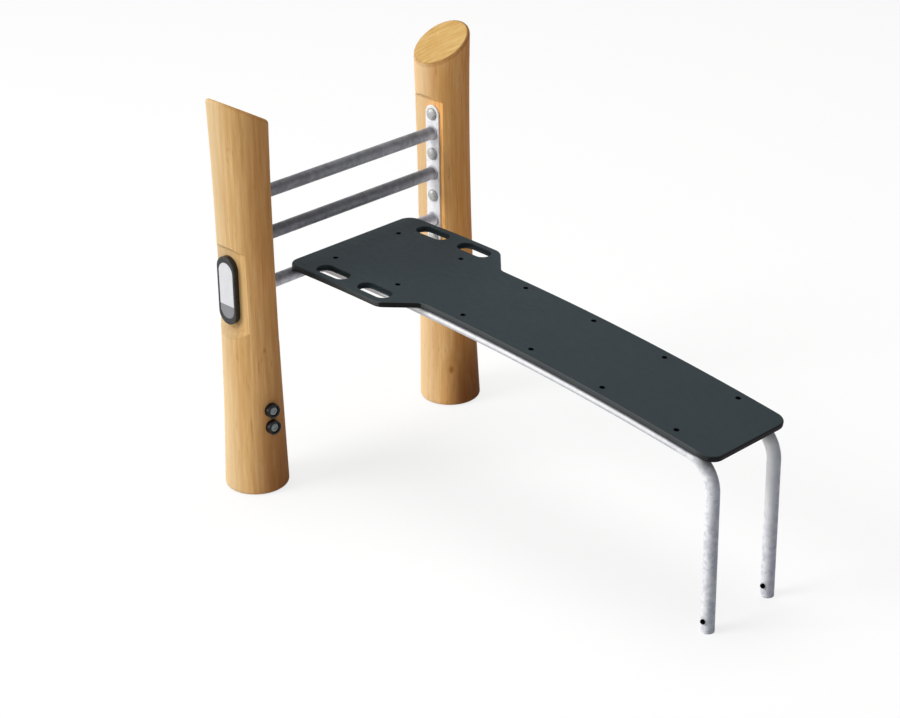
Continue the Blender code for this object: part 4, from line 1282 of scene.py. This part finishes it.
@dataclass
class Rail:
    """One tube under the panel that bends down into a leg, with its saddle weld and cross bolt."""
    side: Side
    bend_radius: float = 0.093
    leg_reach: float = 1.4777
    rung_height: float = RUNG_HEIGHTS["bottom_rung"]
    arch_steps: int = 44
    bend_steps: int = 24
    bolt_height: float = 0.0365
    bush_radius: float = 0.0058
    bush_length: float = 0.014
    bolt: Screw = Screw(0.004, 0.018, 0.004, 0.0072, 0.0075, 0.0035)
    bead: WeldBead = WeldBead()

    @property
    def across(self) -> float:
        """The rail's place across the bench."""
        return self.side.value * RAIL_SPACING / 2

    @property
    def foot(self) -> Point:
        """The middle of the leg's foot in the model's frame."""
        return (POST_PLANE + self.leg_reach, self.across, 0)

    @property
    def bolt_frame(self) -> Matrix:
        """Frame of the leg bolt's head, on the leg's near side."""
        return aim((0, -1, 0), (self.leg_reach, self.across - TUBE.radius - CLEARANCE, self.bolt_height))

    def tube(self) -> Mesh:
        """The tube from the lowest rung along the arch, round the bend and down to the ground.

        Returns:
            The mesh.
        """
        run = ARCH.radius - PANEL_THICKNESS - CLEARANCE - TUBE.radius
        start_angle = math.asin(-ARCH.crown_reach / run)
        inner_run = run - self.bend_radius
        bend_start = math.asin((self.leg_reach - self.bend_radius - ARCH.crown_reach) / inner_run)
        turn = Matrix.Rotation(start_angle, 4, 'Y')
        start = ARCH.centre + turn @ Vector((0, 0, run)) + Vector((0, self.across, 0))
        bm = bmesh.new()
        end = TUBE.start(bm, Matrix.Translation(start) @ turn @ Matrix.Rotation(QUARTER, 4, 'Y'))
        end = bmesh.ops.spin(bm, geom=end, cent=ARCH.centre, axis=(0, 1, 0), angle=bend_start - start_angle,
                             steps=self.arch_steps)["geom_last"]
        bend_centre = ARCH.centre + Matrix.Rotation(bend_start, 4, 'Y') @ Vector((0, 0, inner_run))
        end = bmesh.ops.spin(bm, geom=end, cent=bend_centre, axis=(0, 1, 0), angle=QUARTER - bend_start,
                             steps=self.bend_steps)["geom_last"]
        push(bm, end, (0, 0, -bend_centre.z))
        return to_mesh(bm, "rail")

    def holes(self, bolt_places: Sequence[float]) -> Mesh:
        """The saddle over the lowest rung and the holes for bushes and leg bolt.

        Args:
            bolt_places: distances of the panel's bolts from its rear edge.

        Returns:
            The mesh that is cut out of the tube.
        """
        bm = bmesh.new()
        half = TUBE.radius + OVERRUN
        lathe(bm, plug(-half, half, TUBE.radius + CLEARANCE), TUBE.sides,
              aim((0, 1, 0), (0, self.across, self.rung_height)))
        bush = plug(-PANEL_THICKNESS - self.bush_length, 0, self.bush_radius + CLEARANCE)
        for place in bolt_places:
            lathe(bm, bush, 16, ARCH.frame(place, self.across))
        lathe(bm, plug(-TUBE.radius, OVERRUN, self.bolt.shank + CLEARANCE), 16, self.bolt_frame)
        return to_mesh(bm, "rail_holes")

    def build(self, finishes: Finishes, bolt_places: Sequence[float]) -> None:
        """Build and dress the rail, its weld and the leg bolt.

        Args:
            finishes: the bench's materials.
            bolt_places: distances of the panel's bolts from its rear edge.
        """
        label, zinc = self.side.label, finishes.rails[self.side]
        node = f"{label}_bench_tube"
        present(cut(self.tube(), self.holes(bolt_places)), f"{node}_bent", zinc, node)
        bm = bmesh.new()
        joint = aim((1, 0, 0), (CLEARANCE, self.across, self.rung_height)) @ Matrix.Rotation(QUARTER, 4, 'Z')
        self.bead.lay(bm, joint, saddle=True)
        present(to_mesh(bm, "saddle_bead"), f"{label}_rail_weld", zinc)
        self.bolt.present(32, self.bolt_frame, f"{label}_leg_bolt", finishes.black_bolt)


@dataclass
class BenchPanel:
    """The long curved panel with its hand slots and sunk bolts."""
    length: float = 1.5149
    wide: float = 0.490
    narrow: float = 0.314
    wide_length: float = 0.378
    thickness: float = PANEL_THICKNESS
    rounding: float = 0.005
    corner: float = 0.040
    neck: float = 0.030
    slot_places: tuple[float, float] = (0.148, 0.3176)
    slot_spacing: float = 0.394
    slot_length: float = 0.119
    slot_width: float = 0.053
    first_bolt: float = 0.078
    bolt_pitch: float = 0.2573
    bolts_per_rail: int = 6
    bolt_sides: int = 28
    strip: float = 0.030
    edge_steps: int = 6
    corner_steps: int = 12
    pocket: float = 0.0080
    sink: float = 0.001
    head_radius: float = 0.0077
    head_rise: float = 0.004
    shank: float = 0.003
    shank_length: float = 0.024
    key: float = 0.0035
    edge_limit: float = 0.8
    end_limit: float = 0.45
    under_limit: float = 0.1

    @property
    def bolt_places(self) -> list[float]:
        """Distances of the bolts from the rear edge."""
        return [self.first_bolt + self.bolt_pitch * k for k in range(self.bolts_per_rail)]

    def slab(self) -> Mesh:
        """The flat panel with rounded corners and edges, its top face at height zero.

        Returns:
            The mesh.
        """
        wide, narrow = self.wide / 2, self.narrow / 2
        half = [(0, wide), (self.wide_length, wide), (self.wide_length + wide - narrow, narrow),
                (self.length, narrow)]
        bm = bmesh.new()
        outline = half + [(x, -y) for x, y in reversed(half)]
        bm.faces.new([bm.verts.new((x, y, 0)) for x, y in outline])
        oblique = math.tan(QUARTER / 4)
        offsets = (self.corner, self.corner * oblique, self.neck * oblique, self.corner)
        for place, offset in zip(half, offsets):
            corners = [vert for vert in bm.verts
                       if (Vector((vert.co.x, abs(vert.co.y))) - Vector(place)).length < MERGE_DISTANCE]
            round_off(bm, corners, offset, self.corner_steps, affect='VERTICES')
        push(bm, bm.faces[:], (0, 0, -self.thickness))
        bmesh.ops.recalc_face_normals(bm, faces=bm.faces)
        rims = [edge for edge in bm.edges if edge.verts[0].co.z == edge.verts[1].co.z]
        round_off(bm, rims, self.rounding, self.edge_steps)
        return to_mesh(bm, "slab")

    def openings(self) -> Mesh:
        """The hand slots, which widen by the rounding inside the panel, and the stepped bolt holes.

        Returns:
            The mesh that is cut out of the slab.
        """
        bm = bmesh.new()
        end, low = self.slot_width / 2, -self.thickness
        inside = end + self.rounding
        arc = quarter_round(self.rounding, (0, 0), self.edge_steps, 0)
        slot = [(0, low - OVERRUN), (inside, low - OVERRUN), *((inside - x, low + z) for x, z in arc),
                *((inside - x, -z) for x, z in reversed(arc)), (inside, OVERRUN), (0, OVERRUN)]
        ledge = -self.sink - self.head_rise - CLEARANCE
        shank = self.shank + CLEARANCE
        bolt_hole = [(0, low - OVERRUN), (shank, low - OVERRUN), (shank, ledge), (self.pocket, ledge),
                     (self.pocket, OVERRUN), (0, OVERRUN)]
        for place in self.slot_places:
            for side in Side:
                at = Matrix.Translation((place, side.value * self.slot_spacing / 2, 0))
                round_ended(bm, slot, 48, self.slot_length, self.slot_width, at)
        for place in self.bolt_places:
            for side in Side:
                at = Matrix.Translation((place, side.value * RAIL_SPACING / 2, 0))
                lathe(bm, bolt_hole, self.bolt_sides, at)
        return to_mesh(bm, "openings")

    def mark_edge(self, bm: BMesh) -> None:
        """Mark the flat panel's outer edge, but not its slots and holes.

        The mark is 1 on the sides, which take a finish of painted light, and 2 on what faces forwards or
        down, which takes a finish of painted shade.

        Args:
            bm: the flat panel.
        """
        bm.normal_update()
        marks = bm.faces.layers.int.new("outer_edge")
        slot_half = self.slot_width / 2 + 2 * self.rounding
        slots_end = self.slot_places[1] + self.slot_length / 2 + self.rounding
        bolts_end = self.length - self.corner
        for face in bm.faces:
            middle = face.calc_center_median()
            reach = abs(middle.y)
            in_slot = abs(reach - self.slot_spacing / 2) < slot_half and self.corner < middle.x < slots_end
            in_bolt = abs(reach - RAIL_SPACING / 2) < 2 * self.pocket and middle.x < bolts_end
            if abs(face.normal.z) < self.edge_limit and not in_slot and not in_bolt:
                face[marks] = 2 if face.normal.x > self.end_limit or face.normal.z < -self.under_limit else 1

    def bolt(self) -> Mesh:
        """A socket bolt, its head standing on height zero.

        Returns:
            The mesh.
        """
        chamfer = self.head_rise / 8
        head, rise = self.head_radius, self.head_rise
        body = [(0, -self.shank_length), (self.shank, -self.shank_length), (self.shank, 0), (head, 0),
                (head, rise - chamfer), (head - chamfer, rise), (0, rise)]
        socket = plug(rise / 2, rise + OVERRUN, self.key)
        return cut(spun("bolt_body", body, self.bolt_sides), spun("bolt_socket", socket, 6))

    def build(self, finishes: Finishes) -> None:
        """Build and dress the panel and its bolts.

        Args:
            finishes: the bench's materials.
        """
        flat = cut(self.slab(), self.openings())
        bm = bmesh.new()
        bm.from_mesh(flat)
        bpy.data.meshes.remove(flat)
        strips = round(self.length / self.strip)
        for k in range(1, strips):
            bmesh.ops.bisect_plane(bm, geom=everything(bm), dist=MERGE_DISTANCE,
                                   plane_co=(self.length * k / strips, 0, 0), plane_no=(1, 0, 0))
        bmesh.ops.triangulate(bm, faces=[face for face in bm.faces if len(face.verts) > 4])
        self.mark_edge(bm)
        for vert in bm.verts:
            vert.co = ARCH.frame(vert.co.x, vert.co.y) @ Vector((0, 0, vert.co.z))
        board = present(to_mesh(bm, "panel"), "bench_board_bent", finishes.panel, "bench_board", even=True)
        # The sides take the finish of painted light, and the end and underside edges the finish of painted
        # shade.
        board.data.materials.append(finishes.panel_edge)
        board.data.materials.append(finishes.panel_end)
        for face, mark in zip(board.data.polygons, board.data.attributes["outer_edge"].data):
            face.material_index = mark.value
        bolt = self.bolt()
        sunk = Matrix.Translation((0, 0, -self.sink - self.head_rise))
        for side in Side:
            for number, place in enumerate(self.bolt_places, start=1):
                mesh = bolt.copy()
                mesh.transform(ARCH.frame(place, side.value * RAIL_SPACING / 2) @ sunk)
                node = f"{side.label}_board_bolt_{number}"
                present(mesh, f"{node}_socket", finishes.black_bolt, node)
        bpy.data.meshes.remove(bolt)


@dataclass
class Sign:
    """The round-ended holder on the near post's outer flat, with its bare inset face."""
    centre_x: float = -0.0115
    back_y: float = -0.4493
    centre_height: float = 0.625
    length: float = 0.2058
    width: float = 0.0734
    thickness: float = 0.0162
    rounding: float = 0.0022
    face_length: float = 0.169
    face_width: float = 0.0586
    face_thickness: float = 0.002
    face_edge: float = 0.0005
    face_sink: float = 0.0008
    lip: float = 0.0006
    sides: int = 64
    screw_spacing: float = 0.100
    screw_reach: float = 0.045
    screw_head: float = 0.003
    screw_radius: float = 0.0025
    field_share: float = 0.24

    def frame(self, up: float = 0) -> Matrix:
        """Frame on the sign's back, +Z out of the post and +X up the post."""
        turn = Matrix.Rotation(QUARTER, 4, 'X') @ Matrix.Rotation(QUARTER, 4, 'Z')
        return Matrix.Translation((self.centre_x, self.back_y, self.centre_height + up)) @ turn

    @property
    def floor(self) -> float:
        """Height of the recess's floor above the sign's back."""
        return self.thickness - self.face_sink - self.face_thickness - CLEARANCE

    def fixings(self) -> list[PostFixing]:
        """The bores that the sign's screws need in the post.

        Returns:
            The fixings.
        """
        seat = self.floor - self.screw_head - CLEARANCE
        screw = Screw(self.screw_radius, self.screw_reach - seat, 0.006, 0.005, 0.003, 0.003)
        return [PostFixing(screw.bore(), self.frame(side.value * self.screw_spacing / 2)) for side in Side]

    def layer(self, name: str, profile: Profile, length: float, width: float) -> Mesh:
        """A round-ended layer on the sign's back.

        Args:
            name: the mesh's name.
            profile: (radius, height) points of its round ends.
            length: over the round ends.
            width: across.

        Returns:
            The mesh.
        """
        bm = bmesh.new()
        round_ended(bm, profile, self.sides, length, width, self.frame())
        return to_mesh(bm, name)

    def build(self, finishes: Finishes) -> None:
        """Build and dress the holder and its face.

        Args:
            finishes: the bench's materials.
        """
        end, r, top = self.width / 2, self.rounding, self.thickness
        rim = quarter_round(r, (end - r, top - r), 5, 0)
        holder = self.layer("holder", [(0, 0), (end, 0), *rim, (0, top)], self.length, self.width)
        inner = self.face_width / 2 + CLEARANCE
        outer = inner + self.lip
        hollow = [(0, self.floor), (inner, self.floor), (inner, top - self.lip), (outer, top),
                  (outer, top + OVERRUN), (0, top + OVERRUN)]
        room = 2 * CLEARANCE
        recess = self.layer("recess", hollow, self.face_length + room, self.face_width + room)
        present(cut(holder, recess), "sign_holder_rim", finishes.black_plastic, "sign_holder", even=True)
        low = self.floor + CLEARANCE
        half, high = self.face_width / 2, low + self.face_thickness
        face = self.layer("sign_face", [(0, low), (half, low), (half, high - self.face_edge),
                                        (half - self.face_edge, high), (0, high)],
                          self.face_length, self.face_width)
        field_top = self.centre_height - self.face_length * (1 / 2 - self.field_share)
        material = SignFace("sign_face", field_top).material()
        present(face, "sign_panel_bare", material, "sign_panel", even=True)


@dataclass
class CappedBolt:
    """A deep round cup on the near post, round the head of a bolt."""
    place: str
    height: float
    post_radius: float
    post_axis: float
    bearing: float = math.radians(-5)
    radius: float = 0.0215
    rim_radius: float = 0.0195
    stand_out: float = 0.015
    bore: float = 0.0145
    floor: float = 0.008
    bolt: Screw = Screw(0.006, 0.070, 0.010, 0.0125, 0.0085, 0.0062, dish=0.0055)

    @property
    def seat(self) -> float:
        """Distance of the cup's seat from the post's axis."""
        return math.sqrt(self.post_radius ** 2 - self.radius ** 2)

    @property
    def frame(self) -> Matrix:
        """Frame of the cup's seat, +Z out of the post."""
        outward = Vector((math.cos(self.bearing), math.sin(self.bearing), 0))
        return aim(outward, Vector((self.post_axis, -POST_REACH, self.height)) + outward * self.seat)

    def fixing(self) -> PostFixing:
        """The seat and the bore that it needs in the post.

        Returns:
            The fixing.
        """
        reach = self.bolt.length - self.floor - CLEARANCE
        tip, wall, *_ = Screw(self.bolt.shank, reach, self.bolt.tip, 0, 0, 0).bore()
        seat = self.radius + CLEARANCE
        return PostFixing([tip, wall, (wall[0], 0), (seat, 0), (seat, OVERRUN), (0, OVERRUN)], self.frame, 48)

    def build(self, finishes: Finishes) -> None:
        """Build and dress the cup and its bolt.

        Args:
            finishes: the bench's materials.
        """
        top = self.stand_out + self.post_radius - self.seat
        shank = self.bolt.shank + CLEARANCE
        lip = self.radius - self.rim_radius
        outer = quarter_round(lip, (self.rim_radius, top - lip), 5, 0)
        half = lip / 2
        inner = [(self.bore + half - half * math.cos(a), top - half + half * math.sin(a))
                 for a in (QUARTER, QUARTER / 2, 0)]
        ring = [(shank, CLEARANCE), (self.radius, CLEARANCE), *outer, *inner, (self.bore, self.floor),
                (shank, self.floor)]
        cup = spun("cup", ring, 56, self.frame, closed=True)
        node = f"{self.place}_post_cup"
        present(cup, f"{node}_turned", finishes.black_cap, node)
        lift = self.frame @ Matrix.Translation((0, 0, self.floor + CLEARANCE))
        self.bolt.present(40, lift, f"{self.place}_cup_bolt", finishes.cup_bolt)


# Surroundings


@dataclass(frozen=True)
class Lamp:
    """A soft square lamp that looks at the bench."""
    name: str
    place: Point
    power: float
    size: float
    target: Point = (0, 0, 0.45)

    def build(self) -> None:
        """Hang the lamp."""
        light = bpy.data.lights.new(self.name, 'AREA')
        light.energy = self.power
        light.size = self.size
        link(self.name, light).matrix_world = aim(Vector(self.place) - Vector(self.target), self.place)


@dataclass(frozen=True)
class Studio:
    """Pale floor, white surroundings, soft lamps and the camera."""
    floor_size: float = 60
    floor_colour: Colour = (0.95, 0.95, 0.95)
    bounce_colour: Colour = (0.64, 0.64, 0.64)
    floor_white: float = 0.76
    ambient: Colour = (1.0, 0.99, 0.98)
    ambient_strength: float = 0.28
    image_width: float = 900
    image_height: float = 718
    sensor: float = 36
    focal_pixels: float = 2428.9
    principal: tuple[float, float] = (519.57, 358.81)
    azimuth: float = math.radians(43.64)
    elevation: float = math.radians(25.66)
    camera_place: Point = (4.1670, -4.3908, 3.3961)
    lamps: tuple[Lamp, ...] = (
        Lamp("key_lamp", (-4.4, -8.9, 8.3), 870, 5.0),
        Lamp("side_lamp", (-7.2, -6.9, 1.4), 300, 3.6),
        Lamp("top_lamp", (-1.2, 0.8, 10.0), 520, 7.0),
    )

    def floor(self) -> None:
        """The pale floor, which keeps the bench's shadow."""
        bm = bmesh.new()
        bmesh.ops.create_grid(bm, x_segments=1, y_segments=1, size=self.floor_size / 2)
        mesh = bpy.data.meshes.new("floor")
        bm.to_mesh(mesh)
        bm.free()
        sheet = new_sheet("pale_floor")
        bounced = sheet.take("LightPath", output="Is Diffuse Ray")
        matt = sheet.take("BsdfDiffuse", {"Color": sheet.mix(bounced, self.floor_colour, self.bounce_colour)})
        white = sheet.take("Emission", {"Color": (1, 1, 1, 1), "Strength": 1})
        both = sheet.take("MixShader", {0: sheet.seen() * self.floor_white, 1: matt, 2: white})
        sheet.add("OutputMaterial", {"Surface": both})
        mesh.materials.append(sheet.owner)
        link("floor", mesh)

    def world(self) -> None:
        """Soft ambient light, white where it is seen or reflected."""
        world = bpy.data.worlds.new("studio")
        bpy.context.scene.world = world
        sheet = NodeSheet(world)
        soft = sheet.take("Background", {"Color": (*self.ambient, 1), "Strength": self.ambient_strength})
        white = sheet.take("Background", {"Color": (1, 1, 1, 1)})
        sheet.add("OutputWorld", {"Surface": sheet.take("MixShader", {0: sheet.seen(), 1: soft, 2: white})})

    def camera(self) -> None:
        """The camera at the photograph's place and angle."""
        data = bpy.data.cameras.new("camera")
        data.sensor_fit = 'HORIZONTAL'
        data.sensor_width = self.sensor
        data.lens = self.focal_pixels * self.sensor / self.image_width
        data.shift_x = (self.image_width / 2 - self.principal[0]) / self.image_width
        data.shift_y = (self.principal[1] - self.image_height / 2) / self.image_width
        data.clip_end = 4 * self.floor_size
        back = Vector((math.sin(self.azimuth) * math.cos(self.elevation),
                       -math.cos(self.azimuth) * math.cos(self.elevation), math.sin(self.elevation)))
        camera = link("camera", data)
        camera.matrix_world = aim(back, self.camera_place)
        bpy.context.scene.camera = camera

    def build(self) -> None:
        """Set up the whole studio."""
        self.floor()
        self.world()
        for lamp in self.lamps:
            lamp.build()
        self.camera()
        bpy.context.scene.view_settings.view_transform = 'Standard'


def dress_hidden(finishes: Finishes) -> None:
    """Give the CAD nodes that stay inside the bench their own finish.

    Args:
        finishes: the bench's materials.
    """
    kept = {f"{side.label}_board_bush_{k + 1}" for side in Side for k in range(BenchPanel.bolts_per_rail)}
    kept |= {f"{side.label}_foot_spigot" for side in Side} | {"lower_sign_screw", "upper_sign_screw"}
    for name in sorted(kept):
        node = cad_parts[name]
        node.data.materials.clear()
        node.data.materials.append(finishes.bright)
        LOG.info("%s: kept from the model", name)


def far_timber() -> Timber:
    """The far post's timber."""
    return Timber(
        Side.FAR, math.radians(-37), 3.7,
        (Knot(-38, 0.995, 0.006, 0.6), Knot(-20, 0.94, 0.005, 0.7), Knot(-42, 0.122, 0.009),
         Knot(130, 0.62, 0.010)),
        INNER_FLAT, dull=(1.16, 1.12, 1.04), slant=(0.20, 0.15), pale=(0.85, 0.570, 0.27),
        honey=(0.745, 0.415, 0.153), amber=(0.64, 0.31, 0.09), brown=(0.455, 0.18, 0.050),
        stained=(0.34, 0.270, 0.230), fresh=(0.75, 0.90, 0.97))


def near_timber() -> Timber:
    """The near post's timber."""
    return Timber(
        Side.NEAR, math.radians(35), 1.3,
        (Knot(-64, 1.06, 0.004, 0.4), Knot(-11, 0.452, 0.0045, 0.5), Knot(150, 0.81, 0.011)),
        OUTER_FLAT, dull=(0.76, 0.80, 0.84), slant=(0.12, 0))


def main() -> None:
    """Build the studio and every sub-assembly of the bench in order."""
    logging.basicConfig(level=logging.INFO, format="%(name)s: %(message)s")
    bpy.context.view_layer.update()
    Studio().build()
    finishes = Finishes()
    plates = {side: RungPlate(side) for side in Side}
    far_post = TimberPost(Side.FAR, -0.0180, -0.0034, far_timber(), plates[Side.FAR].fixings())
    near_post = TimberPost(Side.NEAR, -0.0046, 0.0027, near_timber(), plates[Side.NEAR].fixings(),
                           outer_flat=True)
    sign = Sign()
    cups = [CappedBolt(place, height, near_post.radius_at(height), near_post.axis_at(height))
            for place, height in (("lower", 0.212), ("upper", 0.264))]
    near_post.fixings += sign.fixings() + [cup.fixing() for cup in cups]
    far_post.build()
    near_post.build()
    for plate in plates.values():
        plate.build(finishes)
    Rungs().build(finishes)
    panel = BenchPanel()
    for side in Side:
        Rail(side).build(finishes, panel.bolt_places)
    panel.build(finishes)
    sign.build(finishes)
    for cup in cups:
        cup.build(finishes)
    dress_hidden(finishes)


if __name__ == "__main__":
    main()
